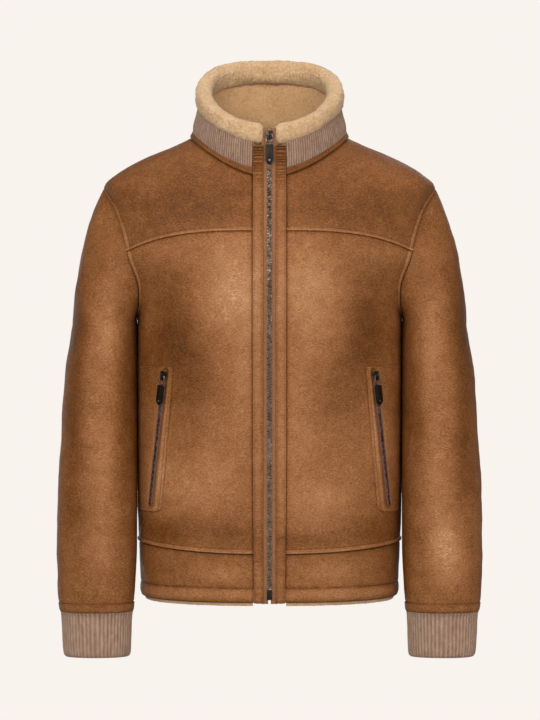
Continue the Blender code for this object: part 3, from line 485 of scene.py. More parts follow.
def butted(d):
    """A plain seam, sewn from behind and pressed open."""
    return -0.0019 * bell(d, 0.0, 0.0015) - 0.0005 * bell(d, 0.0, 0.0060)


def rumple(points, size):
    """A soft unevenness from -1 to 1 with bumps of a stated size, the same on every run."""
    flat = (points / size).reshape(-1, 3)
    return np.array([noise.noise(Vector(p)) for p in flat.tolist()]).reshape(points.shape[:-1])


# Patches of rubbed wear with painted highlight (above 0) and of painted shade (below 0), on the front and the
# back
WearAndLightPatch = namedtuple("WearAndLightPatch", "x z width height amount")
FRONT_WEAR_AND_LIGHT = [
    WearAndLightPatch(-0.045, -0.195, 0.045, 0.060, 0.30),
    WearAndLightPatch(-0.060, -0.260, 0.040, 0.070, 0.24),
    WearAndLightPatch(-0.030, -0.330, 0.022, 0.120, 0.16),
    WearAndLightPatch(-0.060, -0.430, 0.050, 0.060, 0.16),
    WearAndLightPatch(-0.100, -0.500, 0.060, 0.045, 0.22),
    WearAndLightPatch(-0.165, -0.260, 0.022, 0.045, 0.12),
    WearAndLightPatch(-0.150, -0.460, 0.022, 0.060, 0.12),
    WearAndLightPatch(-0.060, -0.615, 0.050, 0.016, 0.16),
    WearAndLightPatch(-0.140, -0.285, 0.034, 0.055, -0.30),
    WearAndLightPatch(-0.110, -0.350, 0.034, 0.060, -0.26),
    WearAndLightPatch(-0.150, -0.560, 0.040, 0.020, -0.22),
    WearAndLightPatch(-0.110, -0.110, 0.080, 0.040, -0.16),
    WearAndLightPatch(-0.080, -0.560, 0.060, 0.012, -0.14),
    WearAndLightPatch(0.050, -0.200, 0.048, 0.060, 0.32),
    WearAndLightPatch(0.070, -0.275, 0.045, 0.060, 0.20),
    WearAndLightPatch(0.035, -0.380, 0.030, 0.110, 0.18),
    WearAndLightPatch(0.080, -0.440, 0.055, 0.060, 0.14),
    WearAndLightPatch(0.070, -0.515, 0.060, 0.035, 0.22),
    WearAndLightPatch(0.160, -0.250, 0.020, 0.045, 0.12),
    WearAndLightPatch(0.155, -0.450, 0.022, 0.060, 0.10),
    WearAndLightPatch(0.080, -0.615, 0.060, 0.016, 0.14),
    WearAndLightPatch(0.140, -0.270, 0.034, 0.050, -0.30),
    WearAndLightPatch(0.105, -0.345, 0.038, 0.055, -0.22),
    WearAndLightPatch(0.140, -0.560, 0.040, 0.022, -0.24),
    WearAndLightPatch(0.110, -0.110, 0.080, 0.040, -0.14),
    WearAndLightPatch(0.040, -0.570, 0.050, 0.012, -0.14),
    WearAndLightPatch(-0.225, -0.290, 0.020, 0.070, 0.26),
    WearAndLightPatch(-0.232, -0.480, 0.020, 0.070, 0.24),
    WearAndLightPatch(-0.235, -0.585, 0.022, 0.045, 0.22),
    WearAndLightPatch(-0.275, -0.420, 0.014, 0.110, -0.26),
    WearAndLightPatch(-0.270, -0.260, 0.016, 0.080, -0.24),
    WearAndLightPatch(-0.205, -0.400, 0.010, 0.120, -0.12),
    WearAndLightPatch(0.225, -0.300, 0.020, 0.075, 0.26),
    WearAndLightPatch(0.235, -0.470, 0.020, 0.070, 0.22),
    WearAndLightPatch(0.245, -0.580, 0.024, 0.050, 0.42),
    WearAndLightPatch(0.275, -0.400, 0.014, 0.110, -0.24),
    WearAndLightPatch(0.270, -0.250, 0.016, 0.080, -0.24),
    WearAndLightPatch(0.205, -0.390, 0.010, 0.120, -0.12),
]
BACK_WEAR_AND_LIGHT = [
    WearAndLightPatch(-0.085, -0.110, 0.060, 0.050, 0.24),
    WearAndLightPatch(0.085, -0.100, 0.060, 0.055, 0.24),
    WearAndLightPatch(0.010, -0.230, 0.050, 0.080, 0.18),
    WearAndLightPatch(-0.060, -0.400, 0.060, 0.090, 0.18),
    WearAndLightPatch(0.075, -0.430, 0.055, 0.090, 0.20),
    WearAndLightPatch(-0.090, -0.530, 0.060, 0.030, 0.20),
    WearAndLightPatch(0.060, -0.620, 0.080, 0.018, 0.16),
    WearAndLightPatch(-0.145, -0.270, 0.034, 0.060, -0.30),
    WearAndLightPatch(0.145, -0.275, 0.034, 0.060, -0.30),
    WearAndLightPatch(0.000, -0.330, 0.030, 0.090, -0.16),
    WearAndLightPatch(0.110, -0.560, 0.060, 0.022, -0.22),
    WearAndLightPatch(-0.130, -0.420, 0.030, 0.090, -0.18),
    WearAndLightPatch(-0.235, -0.260, 0.022, 0.080, 0.26),
    WearAndLightPatch(-0.240, -0.420, 0.022, 0.050, 0.26),
    WearAndLightPatch(-0.240, -0.580, 0.022, 0.050, 0.22),
    WearAndLightPatch(-0.280, -0.350, 0.014, 0.150, -0.24),
    WearAndLightPatch(0.235, -0.255, 0.022, 0.080, 0.26),
    WearAndLightPatch(0.240, -0.430, 0.022, 0.050, 0.26),
    WearAndLightPatch(0.240, -0.585, 0.022, 0.050, 0.22),
    WearAndLightPatch(0.280, -0.360, 0.014, 0.150, -0.24),
]
FINISH_TONE = 0.40
WEAR_AND_LIGHT_STRENGTH = 0.80


def wear_and_painted_light(points, normals):
    """The leather's tone from 0 to 1 before the grain's own mottle: rubbed wear, painted highlight and
    painted shade.
    """
    front = ease(-normals[..., 1], -0.35, 0.35)
    tone = np.full(points.shape[:-1], FINISH_TONE)
    for light_patches, weight in ((FRONT_WEAR_AND_LIGHT, front), (BACK_WEAR_AND_LIGHT, 1 - front)):
        for wear_and_light in light_patches:
            across = (points[..., 0] - wear_and_light.x) / wear_and_light.width
            along = (points[..., 2] - wear_and_light.z) / wear_and_light.height
            tone = tone + WEAR_AND_LIGHT_STRENGTH * wear_and_light.amount * weight * np.exp(-(across ** 2) - along ** 2)
    # Painted shade: darker where the surface turns to the side, away from the front lights
    side = 1 - np.abs(normals[..., 1])
    return tone - 0.14 * ease(side, 0.35, 1.0)


class Finish:
    """A material, with short ways to build its colour and its relief from nodes."""

    def __init__(self, name, roughness, metallic=0.0, specular=0.5, sheen=0.0):
        self.material = bpy.data.materials.new(name)
        self.material.use_nodes = True
        self.tree = self.material.node_tree
        self.shader = self.tree.nodes["Principled BSDF"]
        self.shader.inputs["Roughness"].default_value = roughness
        self.shader.inputs["Metallic"].default_value = metallic
        self.shader.inputs["Specular IOR Level"].default_value = specular
        self.shader.inputs["Sheen Weight"].default_value = sheen
        self.place = self.node("ShaderNodeTexCoord").outputs["Object"]
        self.relief = None

    def node(self, kind, inputs=None, **settings):
        made = self.tree.nodes.new(kind)
        for key, value in settings.items():
            setattr(made, key, value)
        for key, value in (inputs or {}).items():
            if isinstance(value, bpy.types.NodeSocket):
                self.tree.links.new(value, made.inputs[key])
            else:
                made.inputs[key].default_value = value
        return made

    def stretched(self, x, y, z):
        """The place on the object, drawn out or pressed together along each direction."""
        turned = self.node("ShaderNodeMapping", {"Vector": self.place, "Scale": (x, y, z)})
        return turned.outputs["Vector"]

    def mottle(self, size, detail=3.0, place=None):
        settings = {"Vector": place or self.place, "Scale": 1 / size, "Detail": detail}
        return self.node("ShaderNodeTexNoise", settings).outputs["Fac"]

    def pebbles(self, size, feature="F1", place=None):
        settings = {"Vector": place or self.place, "Scale": 1 / size}
        return self.node("ShaderNodeTexVoronoi", settings, feature=feature).outputs["Distance"]

    def tag(self, name):
        return self.node("ShaderNodeAttribute", attribute_name=name).outputs["Fac"]

    def sum(self, first, second, share=1.0):
        scaled = self.node("ShaderNodeMath", {0: second, 1: share, 2: first}, operation="MULTIPLY_ADD")
        return scaled.outputs[0]

    def vary(self, tone, pattern, share):
        """A tone made lighter and darker by a pattern whose middle is a half."""
        return self.sum(tone, self.reckon("SUBTRACT", pattern, 0.5), share)

    def reckon(self, operation, first, second=0.0):
        return self.node("ShaderNodeMath", {0: first, 1: second}, operation=operation).outputs[0]

    def shades(self, tone, stops):
        ramp = self.node("ShaderNodeValToRGB", {"Fac": tone})
        bar = ramp.color_ramp
        while len(bar.elements) < len(stops):
            bar.elements.new(0.5)
        for element, (spot, colour) in zip(bar.elements, stops):
            element.position = spot
            element.color = (*linear(*colour), 1.0)
        return ramp.outputs["Color"]

    def raise_by(self, height, depth, strength=1.0):
        settings = {"Height": height, "Distance": depth, "Strength": strength}
        if self.relief is not None:
            settings["Normal"] = self.relief
        self.relief = self.node("ShaderNodeBump", settings).outputs["Normal"]

    def done(self, colour=None, roughness=None):
        if colour is not None:
            self.tree.links.new(colour, self.shader.inputs["Base Color"])
        if roughness is not None:
            self.tree.links.new(roughness, self.shader.inputs["Roughness"])
        if self.relief is not None:
            self.tree.links.new(self.relief, self.shader.inputs["Normal"])
        return self.material


# Faux leather: mottled tan with rubbed wear, painted highlights and shade, a fine pebbled grain and a waxy
# half shine
LEATHER_SHADES = [
    (0.00, (72, 38, 8)),
    (0.28, (112, 66, 27)),
    (0.50, (142, 91, 52)),
    (0.72, (167, 117, 77)),
    (1.00, (204, 158, 118)),
]
GRAIN_SIZE = 0.0021
STREAK_SIZE = 0.0012
WRINKLE_SIZE = 0.0085
MOTTLE_SIZE = 0.016
BLOTCH_SIZE = 0.075


def leather_finish():
    finish = Finish("faux_leather", 0.62, specular=0.14)
    # The tone tag brings rubbed wear, painted highlights and painted shade, set per point
    tone = finish.tag("wear_and_light")
    tone = finish.vary(tone, finish.mottle(BLOTCH_SIZE, 4.0), 0.30)
    tone = finish.vary(tone, finish.mottle(MOTTLE_SIZE, 5.0), 0.24)
    streak = finish.mottle(STREAK_SIZE, 3.0, finish.stretched(0.42, 0.42, 1.0))
    tone = finish.vary(tone, streak, 0.85)
    grain = finish.pebbles(GRAIN_SIZE, "SMOOTH_F1")
    wrinkle = finish.mottle(WRINKLE_SIZE, 5.0)
    tone = finish.vary(tone, wrinkle, 0.12)
    finish.raise_by(wrinkle, 0.0011, 0.55)
    finish.raise_by(grain, -0.0004, 0.5)
    finish.raise_by(streak, 0.0005, 0.55)
    shine = finish.sum(0.46, finish.mottle(MOTTLE_SIZE, 3.0), 0.24)
    return finish.done(finish.shades(tone, LEATHER_SHADES), shine)


# The bonded back: a short cream pile
BACKING_SHADES = [(0.25, (168, 130, 88)), (0.55, (205, 168, 122)), (0.85, (226, 196, 152))]
CURL_SIZE = 0.0034


def pile_finish(name, shades, curl, sheen):
    finish = Finish(name, 0.95, specular=0.1, sheen=sheen)
    curls = finish.pebbles(curl, "SMOOTH_F1")
    fuzz = finish.mottle(curl * 0.4, 4.0)
    tone = finish.sum(0.55, finish.reckon("SUBTRACT", 0.5, curls), 0.45)
    tone = finish.vary(tone, fuzz, 0.40)
    drift = finish.reckon("SUBTRACT", finish.mottle(curl * 9, 3.0), 0.5)
    tone = finish.sum(tone, drift, 0.45)
    finish.raise_by(curls, -curl * 0.35, 0.5)
    finish.raise_by(fuzz, curl * 0.22, 0.6)
    return finish.done(finish.shades(tone, shades))


leather = leather_finish()
backing = pile_finish("pile_backing", BACKING_SHADES, CURL_SIZE, 0.3)


def cells_of(spots, around=False):
    """The quads between neighbouring spots of a numbered grid."""
    if around:
        spots = np.hstack([spots, spots[:, :1]])
    corners = [spots[:-1, :-1], spots[:-1, 1:], spots[1:, 1:], spots[1:, :-1]]
    return np.stack(corners, axis=-1).reshape(-1, 4)


def add_mesh(name, points, faces, finishes, kinds=None, tags=None, sharp=50.0):
    """A smooth object from points and faces, with its materials and named values at its points."""
    data = bpy.data.meshes.new(name)
    data.from_pydata(points.reshape(-1, 3).tolist(), [], [list(face) for face in faces])
    for finish in finishes:
        data.materials.append(finish)
    if kinds is not None:
        data.polygons.foreach_set("material_index", np.asarray(kinds, np.int32))
    for key, values in (tags or {}).items():
        tag = data.attributes.new(key, "FLOAT", "POINT")
        tag.data.foreach_set("value", np.ravel(values).astype(np.float32))
    data.shade_smooth()
    data.set_sharp_from_angle(angle=math.radians(sharp))
    data.update()
    piece = bpy.data.objects.new(name, data)
    bpy.context.scene.collection.objects.link(piece)
    return piece


def add_wall(name, face, back, finishes, around=False, tags=None, sharp=50.0):
    """A cloth wall between two grids of points; its back may have a finish of its own."""
    rows, columns = face.shape[:2]
    spots = np.arange(rows * columns).reshape(rows, columns)
    behind = spots + rows * columns
    outside = cells_of(spots, around)
    inside = cells_of(behind, around)[:, ::-1]
    rims = [cells_of(np.stack([behind[0], spots[0]]), around)]
    rims.append(cells_of(np.stack([spots[-1], behind[-1]]), around))
    if not around:
        rims.append(cells_of(np.stack([spots[:, 0], behind[:, 0]])))
        rims.append(cells_of(np.stack([behind[:, -1], spots[:, -1]])))
    faces = np.vstack([outside, inside] + rims)
    kinds = np.zeros(len(faces), int)
    kinds[len(outside):len(outside) + len(inside)] = len(finishes) - 1
    both = {key: np.concatenate([values.ravel(), values.ravel()]) for key, values in (tags or {}).items()}
    points = np.concatenate([face.reshape(-1, 3), back.reshape(-1, 3)])
    return add_mesh(name, points, faces, finishes, kinds, both, sharp)


def cut_of(points, around=False):
    """Width, length and area of the flat piece that a grid of cloth was cut from."""
    if around:
        points = np.concatenate([points, points[:, :1]], axis=1)
    width = run_along(points, 1)[0][:, -1].max()
    length = run_along(points, 0)[0][-1].max()
    first = points[1:, 1:] - points[:-1, :-1]
    second = points[1:, :-1] - points[:-1, 1:]
    area = np.linalg.norm(np.cross(first, second), axis=-1).sum() / 2
    return (float(width), float(length)), float(min(area, width * length))


def sew_in(piece, cloth, node, around=False, cut_width=None, turned=0.0):
    """Fixes a piece of cloth to the jacket and puts it in its solid's place."""
    flat, area = cut_of(cloth, around)
    area += turned * flat[0]
    flat = (cut_width or flat[0], flat[1] + turned)
    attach(piece, "jacket")
    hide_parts(node)


seam_lines = []


def line_in_from(edge, face, normals, distance, rows=slice(None)):
    """A line of points at a distance in from a grid's edge, for its stitches to follow."""
    if edge in ("low", "high"):
        face, normals = face.transpose(1, 0, 2), normals.transpose(1, 0, 2)
    if edge in ("high", "last"):
        face, normals = face[:, ::-1], normals[:, ::-1]
    face, normals = face[rows], normals[rows]
    gone = run_along(face, 1)[0]
    points, ways = [], []
    for along, line, way in zip(gone, face, normals):
        points.append([np.interp(distance, along, line[:, k]) for k in range(3)])
        ways.append([np.interp(distance, along, way[:, k]) for k in range(3)])
    return np.array(points), unit(np.array(ways))


# The cloth is held flat at a seam and loose from a little way off, where it has small rumples
LOOSE_FROM_SEAM = (0.004, 0.016)
SOFT_RUMPLE = 0.0009
SOFT_SIZE = 0.036
FINE_RUMPLE = 0.0005
FINE_SIZE = 0.013
EDGE_SHADE = 0.20
EDGE_SHADE_WIDTH = 0.0012


def lay_panel(node, side, angle, level, edges, creases=CREASES, tone_shift=0.0):
    """A leather panel on the body's form. edges gives a rule for each of its four edges."""
    cloth, normals = form_point(side * angle, level), form_normal(side * angle, level)
    first, last = run_along(cloth, 1)
    low, high = run_along(cloth, 0)
    seams = edges["low"](low) + edges["high"](high) + edges["first"](first) + edges["last"](last)
    radius = np.linalg.norm(cloth[..., :2], axis=-1)
    nearest = np.minimum(np.minimum(first, last), np.minimum(low, high))
    loose = ease(nearest, *LOOSE_FROM_SEAM)
    rise = seams - trough_depth(creases, side * angle, level, radius) * loose
    uneven = SOFT_RUMPLE * rumple(cloth, SOFT_SIZE) + FINE_RUMPLE * rumple(cloth + 1.0, FINE_SIZE)
    rise = rise + loose * uneven
    face = cloth + normals * rise[..., None]
    back = cloth - normals * LEATHER_WALL
    # Painted light: patches of painted highlight and shade, painted shade along the edges, and painted
    # highlight and shade on the seams by their height
    tone = wear_and_painted_light(cloth, normals) + tone_shift - EDGE_SHADE * np.exp(-nearest / EDGE_SHADE_WIDTH)
    tone = tone + SEAM_PAINTED_LIGHT * seams
    order = slice(None, None, side)
    tags = {"wear_and_light": tone[:, order]}
    piece = add_wall(node + "_panel", face[:, order], back[:, order], [leather, backing], tags=tags)
    return piece, cloth, face, normals


BODY_BREADTH = 0.235
# The wearer's left is towards +X
SIDES = ((1, "left"), (-1, "right"))


def body_levels():
    """Levels of the body's rows at the side seam, from the band seam to the underarm."""
    low = float(band_rule(np.array(90.0)))
    return low + rows_between(UNDERARM - low, high_edge=False)


def close_steps(first, last, low_edge=False, high_edge=False):
    """Armhole steps a few millimetres apart, closer at the edges that are named."""
    step_length = 0.026
    gone = rows_between((last - first) * step_length, low_edge, high_edge) / step_length
    return first + gone


def share_for(low, high, angle, level):
    return (level - low(angle)) / (high(angle) - low(angle))



def side_rule(is_arm):
    """The side edge is a plain seam on the body and laps over the sleeve along the armhole."""
    weight = is_arm[:, None]
    return lambda d: butted(d) * (1 - weight) + lapped(d) * weight


for side, word in SIDES:
    levels = body_levels()
    arm_angle, arm_level = armhole(close_steps(0.0, YOKE_STEP, high_edge=True)[1:], 1)
    side_angle = np.concatenate([90.0 - side_turn(levels), arm_angle])
    side_level = np.concatenate([levels, arm_level])
    share = share_for(band_rule, yoke_rule, side_angle, side_level)
    share[0], share[-1] = 0.0, 1.0
    shift = np.zeros(len(share))
    shift[0], shift[-1] = SEAM_GAP / 2, -SEAM_GAP / 2
    angle, level = panel_grid(share, side_angle, band_rule, yoke_rule, shift, BODY_BREADTH)
    is_arm = ease(side_level, UNDERARM - 0.004, UNDERARM + 0.004)
    edges = {"low": lapped, "high": tucked, "first": tucked, "last": side_rule(is_arm)}
    node = "front_" + word
    piece, cloth, face, normals = lay_panel(node, side, angle, level, edges)
    sew_in(piece, cloth, node)
    seam_lines.append(line_in_from("low", face, normals, STITCH_LINE))
    seam_lines.append(line_in_from("last", face, normals, STITCH_LINE, slice(len(levels), None)))

# Yokes
# A front yoke on each side, from the seam across the chest to the shoulder line and the neck. Its
# lower edge is turned and stitched over the front panel.
for side, word in SIDES:
    steps = close_steps(YOKE_STEP, ARM_STEPS, low_edge=True)
    arm_angle, arm_level = armhole(steps, 1)
    arm_angle = np.minimum(arm_angle, 90.0 - side_turn(arm_level))
    shoulder = SHOULDER_POINT + rows_between(NECKLINE - SHOULDER_POINT, low_edge=False)[1:]
    side_angle = np.concatenate([arm_angle, 90.0 - side_turn(shoulder)])
    side_level = np.concatenate([arm_level, shoulder])
    share = share_for(yoke_rule, lambda angle: NECKLINE + 0.0 * angle, side_angle, side_level)
    share[0], share[-1] = 0.0, 1.0
    shift = np.zeros(len(share))
    shift[0], shift[-1] = SEAM_GAP / 2, -SEAM_GAP / 2
    angle, level = panel_grid(share, side_angle, yoke_rule, lambda a: NECKLINE + 0.0 * a, shift, BODY_BREADTH)
    is_arm = 1 - ease(side_level, SHOULDER_POINT - 0.006, SHOULDER_POINT + 0.001)
    edges = {"low": lapped, "high": tucked, "first": tucked, "last": side_rule(is_arm)}
    node = "yoke_" + word
    # The yokes are a little darker in tone than the fronts
    piece, cloth, face, normals = lay_panel(node, side, angle, level, edges, tone_shift=-0.06)
    sew_in(piece, cloth, node)
    seam_lines.append(line_in_from("low", face, normals, STITCH_LINE))
    seam_lines.append(line_in_from("last", face, normals, STITCH_LINE, slice(0, len(steps))))

# Back
# One back panel from side seam to side seam, up to the shoulder lines and the neck. Its armhole
# edges lap over the sleeves and its lower edge over the hem band, as in front.
levels = body_levels()
arm_angle, arm_level = armhole(close_steps(0.0, ARM_STEPS)[1:], -1)
arm_angle = np.maximum(arm_angle, 90.0 + side_turn(arm_level))
shoulder = SHOULDER_POINT + rows_between(NECKLINE - SHOULDER_POINT, low_edge=False)[1:]
side_angle = np.concatenate([90.0 + side_turn(levels), arm_angle, 90.0 + side_turn(shoulder)])
side_level = np.concatenate([levels, arm_level, shoulder])
side_level[0] += SEAM_GAP / 2
side_level[-1] -= SEAM_GAP / 2
across = rows_between(2 * BODY_BREADTH) / (2 * BODY_BREADTH)
angle = side_angle[:, None] + (360.0 - 2 * side_angle[:, None]) * across
level = np.repeat(side_level[:, None], len(across), axis=1)
is_arm = ease(side_level, UNDERARM - 0.004, UNDERARM + 0.004)
is_arm = is_arm * (1 - ease(side_level, SHOULDER_POINT - 0.006, SHOULDER_POINT + 0.001))
edges = {"low": lapped, "high": tucked, "first": side_rule(is_arm), "last": side_rule(is_arm)}
piece, cloth, face, normals = lay_panel("back", 1, angle, level, edges)
sew_in(piece, cloth, "back")
arm_rows = slice(len(levels), len(levels) + len(arm_level))
seam_lines.append(line_in_from("low", face, normals, STITCH_LINE))
seam_lines.append(line_in_from("first", face, normals, STITCH_LINE, arm_rows))
seam_lines.append(line_in_from("last", face, normals, STITCH_LINE, arm_rows))

# Hem band
# The band round the hem, in three pieces joined at the side seams. Its top goes under the body's
# turned edge, its lower edge is folded up inside, and one line of stitches runs above the fold.
# The cream pile of the turned-up cloth shows as a thin line below it.
HEM = -0.657
HEM_STITCH = 0.0210
HEM_GROOVE = 0.0013
HEM_GROOVE_WIDTH = 0.0010
HEM_SWELL = 0.0012
HEM_FOLD = 0.0026


def hem_fold(d):
    """The rounded fold at the hem, and the groove of the stitches that hold it."""
    groove = -HEM_GROOVE * bell(d, HEM_STITCH, HEM_GROOVE_WIDTH)
    swell = HEM_SWELL * ease(d, 0.002, 0.009) * (1 - ease(d, 0.013, 0.021))
    return -HEM_FOLD * (1 - ease(d, -0.001, 0.0030)) + groove + swell


def hem_rule(angle):
    return HEM + 0.0 * angle


band_top = float(band_rule(np.array(90.0)))
band_gone = np.unique(np.round(np.concatenate([
    rows_between(band_top - HEM),
    HEM_STITCH + np.array([-0.0024, -0.0012, -0.0006, 0.0, 0.0006, 0.0012, 0.0024]),
]), 5))
band_share = band_gone / band_gone[-1]
for side, word in SIDES:
    shift = np.zeros(len(band_share))
    shift[-1] = -SEAM_GAP / 2
    rise = HEM + band_gone
    side_angle = 90.0 - side_turn(rise)
    angle, level = panel_grid(band_share, side_angle, hem_rule, band_rule, shift, BODY_BREADTH)
    edges = {"low": hem_fold, "high": tucked, "first": tucked, "last": butted}
    node = "hem_band_" + word
    piece, cloth, face, normals = lay_panel(node, side, angle, level, edges)
    sew_in(piece, cloth, node)
    seam_lines.append(line_in_from("low", face, normals, HEM_STITCH))
side_level = HEM + band_share * (band_top - SEAM_GAP / 2 - HEM)
side_angle = 90.0 + side_turn(side_level)
angle = side_angle[:, None] + (360.0 - 2 * side_angle[:, None]) * across
level = np.repeat(side_level[:, None], len(across), axis=1)
edges = {"low": hem_fold, "high": tucked, "first": butted, "last": butted}
piece, cloth, face, normals = lay_panel("hem_band_back", 1, angle, level, edges)
sew_in(piece, cloth, "hem_band_back")
seam_lines.append(line_in_from("low", face, normals, HEM_STITCH))

PILE_DEEP = -0.0043
PILE_WALL = 0.0030
PILE_HEM = -0.6610
PILE_TOP = -0.6440
PILE_SHADES = [(0.20, (150, 116, 80)), (0.50, (184, 148, 108)), (0.85, (208, 178, 142))]
PILE_CURL = 0.0030
pile = pile_finish("collar_pile", PILE_SHADES, PILE_CURL, 0.2)

start = float(turn_for(np.array(PLACKET_OUTER), hem_rule))
hem_turns = np.linspace(start, 360.0 - start, 620)
hem_levels = np.array([PILE_HEM, PILE_HEM + 0.0007, PILE_HEM + 0.0018, PILE_HEM + 0.004, PILE_TOP])
angle, level = np.meshgrid(hem_turns, hem_levels)
cloth = form(angle, level, PILE_DEEP + 0.0 * angle)
normals = form_normal(angle, level)
fuzz = rumple(cloth, 0.0030)
inset = np.array([-0.0011, -0.0004, 0.0, 0.0, 0.0])[:, None]
face = cloth + normals * (inset + 0.0004 * fuzz)[..., None]
face[..., 2] -= 0.0007 * np.maximum(fuzz, -0.3) * (level < PILE_HEM + 0.002)
back = cloth - normals * (PILE_WALL + inset)[..., None]
piece = add_wall("hem_pile_line", face, back, [pile])
sew_in(piece, cloth, "hem_pile")

# Pocket patches
# A leather patch on each side of the front, round a slanted zip, with its inner and short edges
# turned and topstitched. It reaches to the side seam.
PATCH_TOP = -0.3280
PATCH_LOW = -0.5330
PATCH_EDGE_TOP = 0.1330
PATCH_EDGE_LOW = 0.1510
PATCH_SIDE = 76.0
PATCH_CORNER = 0.008
POCKET_TOP = (0.1460, -0.3420)
POCKET_LOW = (0.1660, -0.5240)
POCKET_ZIP_HALF = 0.0030
PATCH_BREADTH = 0.062
PATCH_STITCH = 0.0046
PATCH_RIDGE = 0.0004
PATCH_GROOVE = 0.0009
PATCH_FOLD = 0.0015


def patch_fold(d):
    """The turned and stitched edge of a patch that lies on the front."""
    ridge = PATCH_RIDGE * ease(d, 0.0, 0.0020) * (1 - ease(d, 0.0042, 0.0070))
    groove = -PATCH_GROOVE * bell(d, PATCH_STITCH, PATCH_GROOVE)
    return ridge + groove - PATCH_FOLD * (1 - ease(d, -0.0003, 0.0014))


def pocket_point(share, side):
    """Angle and level of the pocket zip's middle, a share of the way down it."""
    x = POCKET_TOP[0] + (POCKET_LOW[0] - POCKET_TOP[0]) * share
    height = POCKET_TOP[1] + (POCKET_LOW[1] - POCKET_TOP[1]) * share
    angle, level = place_at(np.asarray(x, float), np.asarray(height, float))
    return side * angle, level


for side, word in SIDES:
    gone = rows_between(PATCH_TOP - PATCH_LOW)
    height = (PATCH_LOW + gone)[:, None]
    share = (height - PATCH_TOP) / (PATCH_LOW - PATCH_TOP)
    edge_x = PATCH_EDGE_TOP + (PATCH_EDGE_LOW - PATCH_EDGE_TOP) * share
    end = np.minimum(gone, gone[-1] - gone)[:, None]
    into_corner = np.maximum(PATCH_CORNER - end, 0.0)
    corner = PATCH_CORNER - np.sqrt(np.maximum(PATCH_CORNER ** 2 - into_corner ** 2, 0.0))
    start, _ = place_at(edge_x + corner, height)
    across = rows_between(PATCH_BREADTH, high_edge=False)[None, :] / PATCH_BREADTH
    angle = start + (PATCH_SIDE - start) * across
    level = level_at(angle, height + 0.0 * angle)
    cloth = form(side * angle, level, 0.0020 - 0.0008 * across ** 2 + 0.0 * angle)
    normals = form_normal(side * angle, level)
    first, last = run_along(cloth, 1)
    low, high = run_along(cloth, 0)
    zip_share = (height - POCKET_TOP[1]) / (POCKET_LOW[1] - POCKET_TOP[1])
    line_x = POCKET_TOP[0] + (POCKET_LOW[0] - POCKET_TOP[0]) * zip_share
    from_zip = np.abs(np.abs(cloth[..., 0]) - line_x) * 1.25
    beyond = np.maximum(np.maximum(height - POCKET_TOP[1] - 0.006, POCKET_LOW[1] - height), 0.0)
    from_zip = np.hypot(from_zip, beyond)
    rise = patch_fold(first) + patch_fold(low) + patch_fold(high)
    slit = 0.0009 * bell(from_zip, 0.0068, 0.0022)
    slit = slit - 0.0007 * (1 - ease(from_zip, 0.0030, 0.0050))
    rise = rise + slit + 0.0004 * rumple(cloth, 0.014) * ease(first, 0.004, 0.012)
    face = cloth + normals * rise[..., None]
    back = form(side * angle, level, SEAM_GAP + 0.0 * angle)
    nearest = np.minimum(first, np.minimum(low, high))
    # Painted light: darker along the turned edges and in the dip by the zip, as painted shade, and lighter on
    # the ridges inside them, as painted highlight
    tone = wear_and_painted_light(cloth, normals) + 0.03 - 0.14 * np.exp(-nearest / 0.0014)
    tone = tone + 0.10 * bell(nearest, 0.0026, 0.0018)
    tone = tone - 0.14 * bell(from_zip, 0.0040, 0.0018)
    tone = tone + 0.10 * bell(from_zip, 0.0085, 0.0030)
    turned = slice(None, None, side)
    node = "pocket_patch_" + word
    tags = {"wear_and_light": tone[:, turned]}
    piece = add_wall(node + "_panel", face[:, turned], back[:, turned], [leather], tags=tags)
    sew_in(piece, cloth, node)
    for edge in ("first", "low", "high"):
        seam_lines.append(line_in_from(edge, face, normals, PATCH_STITCH))

# Sleeves
# One-piece sleeves of the same leather, set into the armholes under the body's lapped edge and
# closed by a seam along the underarm. Each ends in a turned band, stitched above the cuff.
Section = namedtuple("Section", "level inner outer front back")
SLEEVE_SECTIONS = [
    Section(-0.7390, 0.1985, 0.2900, -0.0790, -0.0200),
    Section(-0.7340, 0.1970, 0.2918, -0.0815, -0.0180),
    Section(-0.7270, 0.1963, 0.2927, -0.0825, -0.0170),
    Section(-0.6780, 0.1942, 0.2955, -0.0850, -0.0140),
    Section(-0.6740, 0.1930, 0.2968, -0.0900, -0.0080),
    Section(-0.6450, 0.1915, 0.3000, -0.0960, -0.0020),
    Section(-0.5800, 0.1888, 0.3017, -0.0990, 0.0100),
    Section(-0.5000, 0.1888, 0.3008, -0.1010, 0.0220),
    Section(-0.4200, 0.1891, 0.2965, -0.0990, 0.0350),
    Section(-0.3350, 0.1897, 0.2915, -0.0930, 0.0520),
    Section(-0.2700, 0.1903, 0.2821, -0.0850, 0.0700),
]
SLEEVE = Profile(SLEEVE_SECTIONS)
SLEEVE_SQUARE = 2.2
SLEEVE_HEAD = -0.2700
SLEEVE_END = -0.6745
SLEEVE_BAND = 0.0125
BAND_RIDGE = 0.0007
BAND_GROOVE = 0.0011
ARM_GAP = 0.0005
ARM_MIDDLE = np.array([0.2100, 0.0, -0.1650])
SLEEVE_COLUMNS = 120
UNDER_SEAM = 214.0
SLEEVE_RADIUS = 0.052
HEAD_LENGTH = 0.17
# The right sleeve's creases lie a little further round and higher than the left one's
RIGHT_DRIFT = 12.0
DRIFT_DOWN = 0.0007

